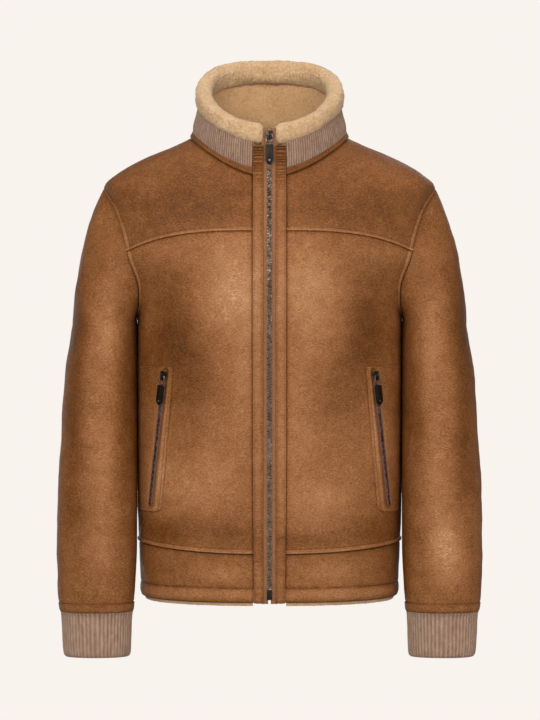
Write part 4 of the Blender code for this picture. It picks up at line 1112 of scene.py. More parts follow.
# Soft rumples of the sleeve; angle is the turn round it, 0 outside, 90 in front, 180 by the body
SLEEVE_CREASES = [
    Fold(120, -0.300, 0.050, 0.0120, 0.0026, 60),
    Fold(150, -0.345, 0.050, 0.0110, 0.0024, 72),
    Fold(100, -0.395, 0.045, 0.0150, 0.0019, 65),
    Fold(165, -0.425, 0.055, 0.0120, 0.0026, 80),
    Fold(70, -0.455, 0.040, 0.0160, 0.0015, 110),
    Fold(140, -0.480, 0.050, 0.0120, 0.0018, 84),
    Fold(190, -0.390, 0.055, 0.0120, 0.0022, 100),
    Fold(215, -0.440, 0.050, 0.0140, 0.0020, 110),
    Fold(240, -0.500, 0.050, 0.0160, 0.0014, 75),
    Fold(110, -0.560, 0.045, 0.0150, 0.0015, 70),
    Fold(45, -0.600, 0.045, 0.0150, 0.0013, 115),
    Fold(150, -0.625, 0.045, 0.0100, 0.0016, 84),
    Fold(300, -0.560, 0.050, 0.0160, 0.0012, 70),
    Fold(250, -0.625, 0.045, 0.0120, 0.0014, 100),
    Fold(60, -0.215, 0.040, 0.0150, 0.0014, 120),
    Fold(300, -0.250, 0.045, 0.0150, 0.0014, 60),
    Fold(255, -0.330, 0.050, 0.0150, 0.0018, 70),
    Fold(340, -0.420, 0.050, 0.0180, 0.0010, 85),
]


def rounded(value):
    return np.copysign(np.abs(value) ** (2 / SLEEVE_SQUARE), value)


def sleeve_level_point(turn, level):
    """Points of the left sleeve's level sections; turn 0 is outside, 90 in front."""
    row = SLEEVE.at(level + 0.0 * turn)
    across = rounded(np.cos(np.radians(turn))) * (row.outer - row.inner) / 2
    ahead = rounded(np.sin(np.radians(turn))) * (row.back - row.front) / 2
    middle = (row.outer + row.inner) / 2
    return np.stack([middle + across, (row.front + row.back) / 2 - ahead, level + 0.0 * turn], axis=-1)


def armhole_place(turn):
    in_front = armhole(ARM_STEPS * (1 - turn / 180.0), 1)
    behind = armhole(ARM_STEPS * (turn / 180.0 - 1), -1)
    return [np.where(turn <= 180.0, a, b) for a, b in zip(in_front, behind)]


def armhole_frame(turn):
    """Points, cloth normals and ways out of the left armhole."""
    angle, level = armhole_place(turn)
    point, normal = form_point(angle, level), form_normal(angle, level)
    before = form_point(*armhole_place((turn - 2.0) % 360.0))
    after = form_point(*armhole_place((turn + 2.0) % 360.0))
    way = unit(np.cross(normal, after - before))
    inward = np.sum(way * (ARM_MIDDLE - point), axis=-1, keepdims=True)
    return point, normal, np.where(inward < 0, -way, way)


def sleeve_head(turn, share):
    """Points between the armhole and the sleeve's first level section."""
    point, _, way = armhole_frame(turn)
    start = point + way * ARM_GAP
    end = sleeve_level_point(turn, SLEEVE_HEAD)
    top = np.maximum(np.cos(np.radians(turn)), 0.0)
    under = np.maximum(-np.cos(np.radians(turn)), 0.0) ** 2
    outward = 0.35 + 0.15 * top + 0.35 * under
    downward = -0.93 + 0.06 * top + 0.23 * under
    leave = np.stack([outward, 0.0 * top, downward], axis=-1)
    length = np.linalg.norm(end - start, axis=-1)[..., None]
    first = start + unit(leave) * length * (0.24 + 0.08 * under)[..., None]
    second = end + np.array([-0.012, 0.0, 1.0]) * length * 0.33
    t = share[:, None, None]
    return start * (1 - t) ** 3 + first * 3 * (1 - t) ** 2 * t + second * 3 * (1 - t) * t ** 2 + end * t ** 3


def tube_normals(grid):
    """Outward directions at the points of a tube whose rows run down it."""
    around = np.roll(grid, -1, axis=1) - np.roll(grid, 1, axis=1)
    return unit(np.cross(around, np.gradient(grid, axis=0)))


turn = np.linspace(0.0, 360.0, SLEEVE_COLUMNS + 1)[:-1]
head_share = rows_between(HEAD_LENGTH, high_edge=False) / HEAD_LENGTH
below = rows_between(SLEEVE_HEAD - SLEEVE_END, low_edge=False)[1:]
band_rows = below[-1] - SLEEVE_BAND + np.array([-0.0020, -0.0010, 0.0, 0.0010, 0.0020])
below = np.unique(np.round(np.concatenate([below, band_rows]), 5))
down = np.stack([sleeve_level_point(turn, SLEEVE_HEAD - gone) for gone in below])
sleeve_cloth = np.concatenate([sleeve_head(turn, head_share), down])
sleeve_normals = tube_normals(sleeve_cloth)
gone, left = run_along(sleeve_cloth, 0)
turns = turn[None, :] + 0.0 * gone
loose = ease(gone, 0.004, 0.020) * ease(left, 0.016, 0.030)
under_seam = np.abs(turns - UNDER_SEAM) * np.pi / 180 * SLEEVE_RADIUS
by_body = bell(turns, 180.0, 26.0)
band_end = 1 - ease(left, SLEEVE_BAND - 0.0016, SLEEVE_BAND + 0.0010)
band_ridge = BAND_RIDGE * band_end * ease(left, 0.0, 0.0022)
band_groove = -BAND_GROOVE * bell(left, SLEEVE_BAND, 0.0010)
for side, word in SIDES:
    mirror = np.array([side, 1.0, 1.0])
    cloth, normals = sleeve_cloth * mirror, sleeve_normals * mirror
    rise = tucked(gone) + band_ridge + band_groove + butted(under_seam)
    drift = RIGHT_DRIFT if side < 0 else 0.0
    free = loose * (1 - by_body)
    lower = sleeve_cloth[..., 2] + DRIFT_DOWN * drift
    rise = rise - trough_depth(SLEEVE_CREASES, turns + drift, lower, SLEEVE_RADIUS) * free
    rise = rise + free * (0.0011 * rumple(cloth, 0.040) + 0.0005 * rumple(cloth + 2.0, 0.014))
    rise = rise + 0.0007 * by_body * loose
    face = cloth + normals * rise[..., None]
    wall = normals.copy()
    _, _, way = armhole_frame(turn)
    lean = np.maximum(np.sum(wall[0] * way * mirror, axis=-1, keepdims=True), 0.0)
    wall[0] = unit(wall[0] - way * mirror * lean)
    back = cloth - wall * LEATHER_WALL
    # Painted shade at the armhole under the body's edge, at the sleeve's end and in the band's groove, and
    # painted highlight on the band
    tone = wear_and_painted_light(cloth, normals) - 0.16 * np.exp(-gone / 0.004) - 0.10 * np.exp(-left / 0.002)
    tone = tone - 0.12 * bell(left, SLEEVE_BAND, 0.0014)
    tone = tone + 0.05 * bell(left, SLEEVE_BAND * 0.6, 0.004)
    order = slice(None, None, side)
    node = "sleeve_" + word
    tags = {"wear_and_light": tone[:, order]}
    walls = face[:, order], back[:, order]
    piece = add_wall(node + "_tube", *walls, [leather, backing], around=True, tags=tags)
    sew_in(piece, cloth, node, around=True)
    points, ways = line_in_from("high", face, normals, SLEEVE_BAND - 0.0012)
    seam_lines.append((np.vstack([points, points[:1]]), np.vstack([ways, ways[:1]])))

# Cuffs
# Ribbed cuffs of a marled beige and brown wool mix, sewn inside the sleeve's turned band. Their
# ribs run along the arm and pull the cuff in a little at its edge.
CUFF_TOP = -0.6748
CUFF_END = -0.7390
CUFF_RIBS = 56
KNIT_WALL = 0.0035
RIB_POINTS = 8
RIB_HEIGHT = 0.0009
STITCH_ROW = 0.0028
KNIT_SHADES = [(0.00, (84, 58, 44)), (0.35, (134, 102, 82)), (0.65, (172, 140, 118)), (1.00, (206, 182, 160))]


def knit_finish():
    finish = Finish("ribbed_knit", 0.92, specular=0.12, sheen=0.1)
    slant = finish.sum(finish.tag("row"), finish.tag("lean"), 1.3)
    loops = finish.reckon("ABSOLUTE", finish.reckon("SINE", finish.reckon("MULTIPLY", slant, math.pi)))
    yarn = finish.mottle(0.0011, 3.0)
    marl = finish.mottle(0.0050, 3.0, finish.stretched(1.0, 1.0, 0.45))
    # Painted light: rib crests are painted lighter and the grooves between them darker
    tone = finish.sum(0.20, finish.tag("crest"), 0.34)
    tone = finish.sum(tone, loops, 0.20)
    tone = finish.vary(tone, yarn, 0.60)
    tone = finish.vary(tone, marl, 0.50)
    finish.raise_by(loops, 0.0007, 0.9)
    finish.raise_by(yarn, 0.0004, 0.7)
    return finish.done(finish.shades(tone, KNIT_SHADES))


knit = knit_finish()


def rib_tags(spot, row):
    """A rib's crest, the lean of its stitches and their row, for points a share across a rib."""
    crest = 0.5 - 0.5 * np.cos(2 * np.pi * spot)
    lean = np.abs(spot % 1.0 - 0.5) * 2
    return {"crest": crest + 0.0 * row, "lean": lean + 0.0 * row, "row": row + 0.0 * spot}


cuff_levels = CUFF_TOP - rows_between(CUFF_TOP - CUFF_END, low_edge=False)
cuff_spot = np.arange(CUFF_RIBS * RIB_POINTS) / RIB_POINTS
turn = 360.0 * cuff_spot / CUFF_RIBS
for side, word in SIDES:
    mirror = np.array([side, 1.0, 1.0])
    rings = np.stack([sleeve_level_point(turn, z) for z in cuff_levels]) * mirror
    outward = unit((rings - rings.mean(axis=1, keepdims=True)) * np.array([1.0, 1.0, 0.0]))
    tags = rib_tags(cuff_spot[None, :], cuff_levels[:, None] / STITCH_ROW)
    ends = np.minimum(CUFF_TOP - cuff_levels, cuff_levels - CUFF_END)[:, None]
    proud = RIB_HEIGHT * (tags["crest"] ** 0.7 - 1.0) * (0.5 + 0.5 * ease(ends, 0.0, 0.004))
    wave = 0.0006 * rumple(rings, 0.022)
    edge = -0.0012 * (1 - ease(cuff_levels - CUFF_END, 0.0, 0.0020))[:, None]
    face = rings + outward * (proud + wave + edge)[..., None]
    back = rings - outward * (KNIT_WALL + edge + RIB_HEIGHT * 0.4)[..., None]
    order = slice(None, None, side)
    node = "cuff_" + word
    # The crest tone is raised here, so the cuffs' painted rib highlights and groove shade sit on a lighter
    # knit than the collar's
    tags["crest"] = 0.38 + 0.72 * tags["crest"]
    tags = {key: value[:, order] for key, value in tags.items()}
    walls = face[:, order], back[:, order]
    piece = add_wall(node + "_rib", *walls, [knit], around=True, tags=tags, sharp=80.0)
    sew_in(piece, rings, node, around=True)

# Neck band
# A narrow leather strip round the neckline, under the knit collar, with a stitched edge.
KNIT_BOTTOM = 0.0080
NECK_GAP = 0.0007
NECK_STITCH = 0.0052
NECK_TURNED_IN = 0.0040


def collar_grid(start_x, levels, columns):
    """Angle and level of points round the neck by way of the back, open at the front."""
    middle = float(levels[len(levels) // 2])
    start = float(turn_for(np.array(start_x), lambda a: middle + 0.0 * a))
    angle, level = np.meshgrid(np.linspace(start, 360.0 - start, columns), levels)
    return angle, level


levels = np.linspace(NECKLINE + NECK_GAP / 2, KNIT_BOTTOM, 11)
angle, level = collar_grid(PLACKET_OUTER + SEAM_GAP, levels, 230)
cloth, normals = form_point(angle, level), form_normal(angle, level)
low, high = run_along(cloth, 0)
rise = 0.0009 * ease(low, 0.0, 0.0020) * ease(high, -0.0010, 0.0030) - 0.0005 * (1 - ease(low, 0.0, 0.0012))
rise = rise - 0.0007 * bell(low, NECK_STITCH, 0.0008)
face = cloth + normals * rise[..., None]
# Painted shade: the band is darker under the knit collar, and darker still along its lower edge
tone = wear_and_painted_light(cloth, normals) - 0.10 - 0.12 * np.exp(-low / 0.0012)
back = cloth - normals * LEATHER_WALL
piece = add_wall("neck_band_strip", face, back, [leather, backing], tags={"wear_and_light": tone})
sew_in(piece, cloth, "neck_band", turned=NECK_TURNED_IN)
seam_lines.append(line_in_from("low", face, normals, NECK_STITCH))

# Collar knit
# The stand of the collar is ribbed knit of the same yarn as the cuffs, with finer upright ribs. It
# spreads a little over the neck band below and is gathered under the pile roll above.
ROLL_BOTTOM = 0.0400
COLLAR_RIB = 0.0036
KNIT_UNDER_ROLL = 0.0035
collar_levels = np.linspace(KNIT_BOTTOM - NECK_GAP, ROLL_BOTTOM + KNIT_UNDER_ROLL, 16)
round_neck = run_along(form_point(*collar_grid(PLACKET_OUTER + SEAM_GAP, collar_levels, 240)), 1)[0]
around_length = float(round_neck[7, -1])
collar_ribs = int(round(around_length / COLLAR_RIB))
spot = np.linspace(0.0, collar_ribs, collar_ribs * 6 + 1)
angle, level = collar_grid(PLACKET_OUTER + SEAM_GAP, collar_levels, len(spot))
cloth, normals = form_point(angle, level), form_normal(angle, level)
low, high = run_along(cloth, 0)
tags = rib_tags(spot[None, :], low / STITCH_ROW)
swell = 0.0013 * ease(low, -0.001, 0.012) * ease(high, -0.001, 0.012) - 0.0006
rise = swell + 0.0009 * (tags["crest"] ** 0.7 - 0.5) + 0.0005 * rumple(cloth, 0.020)
face = cloth + normals * rise[..., None]
piece = add_wall("collar_knit_rib", face, cloth - normals * KNIT_WALL, [knit], tags=tags, sharp=80.0)
sew_in(piece, cloth, "collar_knit")

# Collar lining
# Short tan fleece lines the inside of the collar. Its top is gathered a little into the seam under
# the pile roll, which makes a scalloped line.
LINING_WALL = 0.0025
FLEECE_SHADES = [(0.20, (144, 104, 62)), (0.50, (182, 142, 98)), (0.85, (202, 164, 122))]
FLEECE_CURL = 0.0026
SCALLOP = 0.0058
fleece = pile_finish("collar_fleece", FLEECE_SHADES, FLEECE_CURL, 0.1)
LINING_BOTTOM = -0.0100


def inside_lift(angle):
    """How much higher the seam inside the collar runs at the sides than in front and behind."""
    return 0.0200 * (1 - np.abs(np.cos(np.radians(angle))) ** 2.5)


levels = np.linspace(LINING_BOTTOM, ROLL_BOTTOM + NECK_GAP, 24)
angle, level = collar_grid(PLACKET_OUTER, levels, 470)
level = level + inside_lift(angle) * ease(level, KNIT_BOTTOM, ROLL_BOTTOM)
cloth = form(angle, level, -KNIT_WALL - 0.0005 + 0.0 * angle)
normals = form_normal(angle, level)
low, high = run_along(cloth, 0)
along = run_along(cloth, 1)[0]
gathers = np.sin(2 * np.pi * along / SCALLOP) * np.exp(-high / 0.006)
rise = 0.0007 * gathers + 0.0005 * rumple(cloth, 0.005) + 0.0014 * np.exp(-high / 0.0025)
back = cloth - normals * (LINING_WALL + rise)[..., None]
piece = add_wall("collar_lining_fleece", cloth, back, [fleece])
sew_in(piece, cloth, "collar_lining")

# Collar roll
# The top of the collar is rolled over and shows the thick cream pile all round. It is a soft,
# full roll, open at the front, where each end is turned in beside the zip.
ROLL_TOP = 0.0760
ROLL_OUT = 0.0030
ROLL_THICK = 0.0250
ROLL_GAP_HALF = 0.0087
ROLL_SQUARE = 2.7
ROLL_SIDES = 80
ROLL_COLUMNS = 500
middle = (ROLL_BOTTOM + ROLL_TOP) / 2
start = float(turn_for(np.array(ROLL_GAP_HALF), lambda a: middle + 0.0 * a))
round_share = np.linspace(0.0, 1.0, ROLL_COLUMNS)
end_rows = np.array([0.0, 0.0003, 0.0008, 0.0015, 0.0025])
round_share = np.unique(np.concatenate([round_share, end_rows, 1 - end_rows]))
roll_turns = start + (360.0 - 2 * start) * round_share
spine = form_point(roll_turns, middle + 0.0 * roll_turns)
along = run_along(spine[None], 1)[0][0]
to_end = np.minimum(along, along[-1] - along)
size = 0.55 + 0.45 * np.sqrt(np.clip(1 - (1 - np.clip(to_end / 0.0085, 0, 1)) ** 2, 0, 1))
turn = 2 * np.pi * (np.arange(ROLL_SIDES) + 0.5) / ROLL_SIDES
out = np.copysign(np.abs(np.cos(turn)) ** (2 / ROLL_SQUARE), np.cos(turn))[:, None] * size
up = np.copysign(np.abs(np.sin(turn)) ** (2 / ROLL_SQUARE), np.sin(turn))[:, None] * size
level = middle + up * (ROLL_TOP - ROLL_BOTTOM) / 2
inner_corner = np.clip(-np.cos(turn), 0, 1)[:, None] * np.clip(-np.sin(turn) * 1.5 + 0.2, 0, 1)[:, None]
level = level + inside_lift(roll_turns)[None, :] * inner_corner
offset = ROLL_OUT - ROLL_THICK / 2 + out * ROLL_THICK / 2
ring = form(roll_turns[None, :] + 0.0 * level, level, offset)
centre = form(roll_turns, middle + 0.0 * roll_turns, ROLL_OUT - ROLL_THICK / 2 + 0.0 * roll_turns)
outward = unit(ring - centre)
lumps = 0.0009 * rumple(ring, 0.017) + 0.0008 * rumple(ring + 3.0, 0.0075)
lumps = lumps + 0.0007 * rumple(ring + 5.0, 0.0033)
inner_low = np.exp(-((np.cos(turn) + 0.75) / 0.35) ** 2 - ((np.sin(turn) + 0.65) / 0.4) ** 2)[:, None]
scallops = 0.0012 * np.abs(np.sin(np.pi * along / SCALLOP)) * inner_low
ring = ring + outward * (lumps + scallops)[..., None]
ring = ring.transpose(1, 0, 2)
rings, sides = ring.shape[:2]
spots = np.arange(rings * sides).reshape(rings, sides)
faces = [list(face) for face in cells_of(spots, around=True)]
faces += [list(spots[0][::-1]), list(spots[-1])]
piece = add_mesh("collar_roll_pile", ring, faces, [pile], sharp=75.0)
mesh = bmesh.new()
mesh.from_mesh(piece.data)
bmesh.ops.recalc_face_normals(mesh, faces=mesh.faces)
mesh.to_mesh(piece.data)
mesh.free()
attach(piece, "jacket")
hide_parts("collar_roll")

# Front closing
# Beside the zip a narrow strip of leather is stitched down on each front from the collar to the
# hem. Its stitches draw it into small puckers at the neck, which fade out by the chest.
PLACKET_INNER = 0.0086
FRONT_TOP = -0.0205
GATHER_TOP = -0.0250
GATHER_PITCH = 0.0044
PUCKER_END = -0.0960
BAND_LINES = (-0.5980, -0.6180, -0.6357)
# Where the strip has points across it: closer together at its edges and its two rows of stitches
STRIP_SHARES = (0.0, 0.03, 0.07, 0.13, 0.19, 0.27, 0.38, 0.5, 0.62, 0.73, 0.81, 0.87, 0.93, 0.97, 1.0)


def front_line(heights, distances, side):
    """Points, normals, angle and level at heights and distances from the centre line."""
    x = distances + 0.0 * heights
    angle, level = place_at(x, heights + 0.0 * x)
    return form_point(side * angle, level), form_normal(side * angle, level), side * angle, level


for side, word in SIDES:
    fine = np.arange(FRONT_TOP, PUCKER_END, -0.0008)
    plain = np.linspace(PUCKER_END, HEM, 260)
    heights = np.concatenate([fine, plain])[::-1][:, None]
    share = np.array(STRIP_SHARES)[None, :]
    edge = placket_edge(heights)
    cloth, normals, _, _ = front_line(heights, PLACKET_INNER + (edge - PLACKET_INNER) * share, side)
    puff = 0.0019 * np.sin(np.pi * share) ** 0.55
    grooves = -0.0009 * bell(share, 0.16, 0.045) - 0.0009 * bell(share, 0.84, 0.045)
    fade = np.clip(1 - (GATHER_TOP - heights) / 0.075, 0.0, 1.0)
    wobble = 0.0012 * np.sin(heights * 310.0) * (1 if side > 0 else -1)
    wave = np.cos(2 * np.pi * (heights + wobble - GATHER_TOP) / GATHER_PITCH)
    puckers = 0.0015 * fade * wave * np.sin(np.pi * share) ** 0.5
    lines = sum(-0.0010 * bell(heights, z, 0.0009) for z in BAND_LINES)
    slant = -0.0010 * np.exp(-((heights + 0.570 - 0.006 * share) / 0.0012) ** 2)
    ends = -0.0014 * np.exp(-(heights - HEM) / 0.0016)
    rise = 0.0001 + puff + grooves + puckers + lines + slant + ends + 0.0004 * rumple(cloth, 0.016)
    face = cloth + normals * rise[..., None]
    back = cloth - normals * (LEATHER_WALL - 0.0005)
    # Painted light: lighter on the pucker crests and darker in their hollows, darker in the stitch grooves,
    # band lines and slant, and darker at both edges, as painted highlight and shade; also darker towards the
    # top
    tone = wear_and_painted_light(cloth, normals) + 0.04 - 0.14 * fade + 110.0 * puckers + 70.0 * (grooves + lines + slant)
    tone = tone - 0.22 * (1 - ease(np.minimum(share, 1 - share), 0.0, 0.08))
    order = slice(None, None, side)
    node = "placket_" + word
    piece = add_wall(node + "_strip", face[:, order], back[:, order], [leather], tags={"wear_and_light": tone[:, order]})
    sew_in(piece, cloth, node)
    seam_lines.append((face[:, 3], normals[:, 3]))
    seam_lines.append((face[:, 11], normals[:, 11]))

# Zip
# A heavy moulded zip on a woven brown tape: two rows of dark metal teeth that mesh in turn, and a
# stop box at the hem.
ZIP_TOP = 0.0040
TAPE_INNER = 0.0038
TAPE_OUTER = 0.0082
TAPE_CUT = 0.0150
TAPE_END = 0.0060
TOOTH_PITCH = 0.0042
TAPE_SHADES = [(0.20, (80, 46, 26)), (0.55, (136, 88, 56)), (0.90, (168, 120, 84))]
POCKET_TAPE_SHADES = [(0.20, (70, 36, 28)), (0.55, (104, 62, 50)), (0.90, (132, 88, 72))]
METAL_SHADES = [(0.34, (38, 32, 29)), (0.50, (98, 87, 80)), (0.66, (198, 186, 176))]


def tape_finish(name, shades):
    finish = Finish(name, 0.85, specular=0.2, sheen=0.2)
    across = finish.node("ShaderNodeTexWave", {"Vector": finish.place, "Scale": 520.0, "Distortion": 0.4})
    across.wave_type = "BANDS"
    across.bands_direction = "Z"
    along = finish.node("ShaderNodeTexWave", {"Vector": finish.place, "Scale": 480.0, "Distortion": 0.4})
    along.bands_direction = "X"
    weave = finish.reckon("MAXIMUM", across.outputs["Fac"], along.outputs["Fac"])
    tone = finish.sum(0.10, weave, 0.45)
    tone = finish.sum(tone, finish.mottle(0.004, 3.0), 0.45)
    finish.raise_by(weave, 0.0003, 0.8)
    return finish.done(finish.shades(tone, shades))


def metal_finish(name, shades, roughness):
    finish = Finish(name, roughness, metallic=1.0)
    scuff = finish.mottle(0.0016, 4.0)
    tone = finish.sum(finish.reckon("MULTIPLY", scuff, 0.6), finish.mottle(0.006, 2.0), 0.4)
    finish.raise_by(scuff, 0.00008, 0.5)
    return finish.done(finish.shades(tone, shades), finish.sum(roughness - 0.1, scuff, 0.2))


tape = tape_finish("zip_tape_weave", TAPE_SHADES)
pocket_tape = tape_finish("pocket_tape_weave", POCKET_TAPE_SHADES)
teeth_metal = metal_finish("teeth_metal", METAL_SHADES, 0.36)

for side, word in SIDES:
    heights = np.linspace(ZIP_BOTTOM - TAPE_END, ZIP_TOP, 184)[:, None]
    distances = np.linspace(TAPE_INNER - 0.0020, TAPE_OUTER + 0.0030, 9)[None, :]
    cloth, normals, _, _ = front_line(heights, distances, side)
    dip = -0.0009 - 0.0006 * np.sin(np.pi * (distances - TAPE_INNER) / (TAPE_OUTER - TAPE_INNER)).clip(0, 1)
    face = cloth + normals * (dip + 0.0 * heights)[..., None]
    back = cloth - normals * 0.0024
    order = slice(None, None, side)
    node = "zip_tape_" + word
    piece = add_wall(node + "_woven", face[:, order], back[:, order], [tape])
    sew_in(piece, cloth, node, cut_width=TAPE_CUT)

# A tooth in its own directions: across from its root to its tip, along the zip, out from it
Tooth = namedtuple("Tooth", "root tip half_height half_tip base top")
FRONT_TOOTH = Tooth(-0.0035, 0.0011, 0.00092, 0.00070, -0.0011, 0.0009)
BEVEL = 0.00028


def tooth_points(tooth):
    """A metal tooth as three rings of four corners, its upper edge bevelled."""
    plan = [(tooth.root, -tooth.half_height), (tooth.tip, -tooth.half_tip), (tooth.tip, tooth.half_tip),
            (tooth.root, tooth.half_height)]
    rings = []
    for out, inset in ((tooth.base, 0.0), (tooth.top - BEVEL, 0.0), (tooth.top, BEVEL)):
        for u, v in plan:
            middle = (tooth.root + tooth.tip) / 2
            rings.append((u - math.copysign(inset, u - middle), v - math.copysign(inset, v), out))
    return np.array(rings)


TOOTH_FACES = [(3, 2, 1, 0), (8, 9, 10, 11)]
for low in (0, 4):
    TOOTH_FACES += [(low + k, low + (k + 1) % 4, low + 4 + (k + 1) % 4, low + 4 + k) for k in range(4)]


def zip_teeth(name, tooth, origins, ups, outs, finish):
    """Two rows of teeth along a line; every other tooth comes from the other side."""
    pattern = tooth_points(tooth)
    across = np.cross(ups, outs)
    flip = np.where(np.arange(len(origins)) % 2 == 0, 1.0, -1.0)[:, None, None]
    points = origins[:, None] + across[:, None] * pattern[None, :, :1] * flip
    points = points + ups[:, None] * pattern[None, :, 1:2] + outs[:, None] * pattern[None, :, 2:]
    faces = []
    for k in range(len(origins)):
        for face in TOOTH_FACES:
            corners = [k * len(pattern) + spot for spot in face]
            faces.append(corners if k % 2 == 0 else corners[::-1])
    return add_mesh(name, points, faces, [finish], sharp=30.0)


heights = np.arange(ZIP_BOTTOM + 0.0150, ZIP_TOP - 0.0170, TOOTH_PITCH / 2)
zeros = np.zeros(len(heights))
level = level_at(zeros, heights)
origins = form(zeros, level, 0.0 * zeros)
ups = unit(np.gradient(origins, axis=0))
outs = unit(np.cross(np.array([1.0, 0.0, 0.0]), ups))
piece = zip_teeth("zip_teeth", FRONT_TOOTH, origins, ups, outs, teeth_metal)
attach(piece, "jacket")
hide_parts("zip_chain")


def add_plate(name, outline, low, high, at, finish, bevel):
    """A metal plate of an outline between two depths, with its edges bevelled."""
    mesh = bmesh.new()
    base = mesh.faces.new([mesh.verts.new(at(u, v, low)) for u, v in outline])
    grown = bmesh.ops.extrude_face_region(mesh, geom=[base], use_keep_orig=True)
    top = [item for item in grown["geom"] if isinstance(item, bmesh.types.BMVert)]
    shift = Vector(at(0.0, 0.0, high)) - Vector(at(0.0, 0.0, low))
    bmesh.ops.translate(mesh, verts=top, vec=shift)
    bmesh.ops.recalc_face_normals(mesh, faces=mesh.faces)
    bmesh.ops.bevel(mesh, geom=mesh.edges[:], offset=bevel, segments=2, profile=0.6, affect="EDGES")
    data = bpy.data.meshes.new(name)
    mesh.to_mesh(data)
    mesh.free()
    data.materials.append(finish)
    data.shade_smooth()
    data.set_sharp_from_angle(angle=math.radians(40))
    piece = bpy.data.objects.new(name, data)
    bpy.context.scene.collection.objects.link(piece)
    return piece


def add_wire(name, path, radius, finish, closed=True, sides=10):
    """A round wire along a path of points."""
    path = np.array(path)
    ahead = np.roll(path, -1, axis=0) - np.roll(path, 1, axis=0)
    if not closed:
        ahead[0], ahead[-1] = path[1] - path[0], path[-1] - path[-2]
    ahead = unit(ahead)
    plane = unit(np.linalg.svd(path - path.mean(axis=0))[2][2])
    sideways = np.cross(ahead, plane)
    turn = 2 * np.pi * np.arange(sides) / sides
    cosine, sine = np.cos(turn)[None, :, None], np.sin(turn)[None, :, None]
    rings = path[:, None] + radius * (sideways[:, None] * cosine + plane * sine)
    spots = np.arange(len(path) * sides).reshape(len(path), sides)
    if closed:
        spots = np.vstack([spots, spots[:1]])
    faces = [list(face) for face in cells_of(spots, around=True)]
    if not closed:
        faces += [list(spots[0][::-1]), list(spots[-1])]
    return add_mesh(name, rings, faces, [finish], sharp=60.0)


def join_pieces(name, pieces):
    """Several metal parts of one fitting as a single mesh."""
    mesh = bmesh.new()
    finishes = []
    for piece in pieces:
        for finish in piece.data.materials:
            if finish not in finishes:
                finishes.append(finish)
    for piece in pieces:
        before = len(mesh.faces)
        mesh.from_mesh(piece.data)
        mesh.faces.ensure_lookup_table()
        for face in mesh.faces[before:]:
            face.material_index = finishes.index(piece.data.materials[face.material_index])
    bmesh.ops.recalc_face_normals(mesh, faces=mesh.faces)
    data = bpy.data.meshes.new(name)
    mesh.to_mesh(data)
    mesh.free()
    for finish in finishes:
        data.materials.append(finish)
    for piece in pieces:
        bpy.data.objects.remove(piece, do_unlink=True)
    data.set_sharp_from_angle(angle=math.radians(40))
    joined = bpy.data.objects.new(name, data)
    bpy.context.scene.collection.objects.link(joined)
    return joined


class ZipFrame:
    """Directions at a zip: across it, up along it and out from it, from a point on its face."""

    def __init__(self, place, above, offset):
        self.origin = form(*place, offset)
        self.up = unit(form(*above, offset) - self.origin)
        out = form_normal(*place)
        self.out = unit(out - self.up * np.dot(out, self.up))
        self.across = np.cross(self.up, self.out)

    def at(self, across, up, out):
        return self.origin + self.across * across + self.up * up + self.out * out


BOX_BOTTOM = -0.6520
BOX_TOP = -0.6378
BOX_HALF = 0.0036
box_middle = (BOX_BOTTOM + BOX_TOP) / 2
zero = np.array(0.0)
box_places = [(zero, level_at(zero, np.array(height))) for height in (box_middle, BOX_TOP)]
box_frame = ZipFrame(*box_places, 0.0)
gunmetal = metal_finish("gunmetal", [(0.2, (30, 27, 25)), (0.55, (58, 54, 50)), (0.9, (108, 104, 98))], 0.34)
tall = (BOX_TOP - BOX_BOTTOM) / 2
box_outline = [(-BOX_HALF, -tall), (BOX_HALF, -tall), (BOX_HALF, tall), (-BOX_HALF, tall)]
body = add_plate("box_body", box_outline, -0.0022, 0.0012, box_frame.at, gunmetal, 0.0005)
rib_outline = [(-0.0026, -tall * 0.7), (0.0026, -tall * 0.7), (0.0026, tall * 0.2), (-0.0026, tall * 0.2)]
rib = add_plate("box_rib", rib_outline, 0.0008, 0.0018, box_frame.at, gunmetal, 0.0003)
piece = join_pieces("zip_stop_box", [body, rib])
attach(piece, "jacket")
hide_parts("zip_box")

# Pocket zips
# A finer zip of dark reddish tape is set into each pocket patch, closed, with small dark teeth.
POCKET_ZIP_FACE = 0.0033
POCKET_PITCH = 0.0021
POCKET_TOOTH = Tooth(-0.0021, 0.0007, 0.00068, 0.00045, -0.0004, 0.0008)
for side, word in SIDES:
    share = np.linspace(0.0, 1.0, 90)
    angle, level = pocket_point(share, side)
    radius = np.linalg.norm(form_point(angle, level)[..., :2], axis=-1)
    turn = np.degrees(POCKET_ZIP_HALF * 1.25 / radius)
    across = np.linspace(-1.0, 1.0, 9)[None, :]
    angle, level = angle[:, None] + turn[:, None] * across, level[:, None] + 0.0 * across
    cloth = form(angle, level, POCKET_ZIP_FACE - 0.0004 * np.abs(across) + 0.0 * angle)
    back = form(angle, level, 0.0018 + 0.0 * angle)
    node = "pocket_zip_" + word
    piece = add_wall(node + "_woven", cloth[::-1], back[::-1], [pocket_tape])
    length = float(run_along(cloth, 0)[0][-1, 4])
    count = int((length - 0.012) / POCKET_PITCH * 2)
    angle, level = pocket_point(np.linspace(0.06, 0.995, count), side)
    origins = form(angle, level, POCKET_ZIP_FACE + 0.0 * angle)
    ups = unit(-np.gradient(origins, axis=0))
    outs = form_normal(angle, level)
    outs = unit(outs - ups * np.sum(outs * ups, axis=-1, keepdims=True))
    teeth = zip_teeth("pocket_teeth_" + word, POCKET_TOOTH, origins, ups, outs, teeth_metal)
    sew_in(piece, cloth, node, cut_width=TAPE_CUT)
    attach(teeth, "jacket")

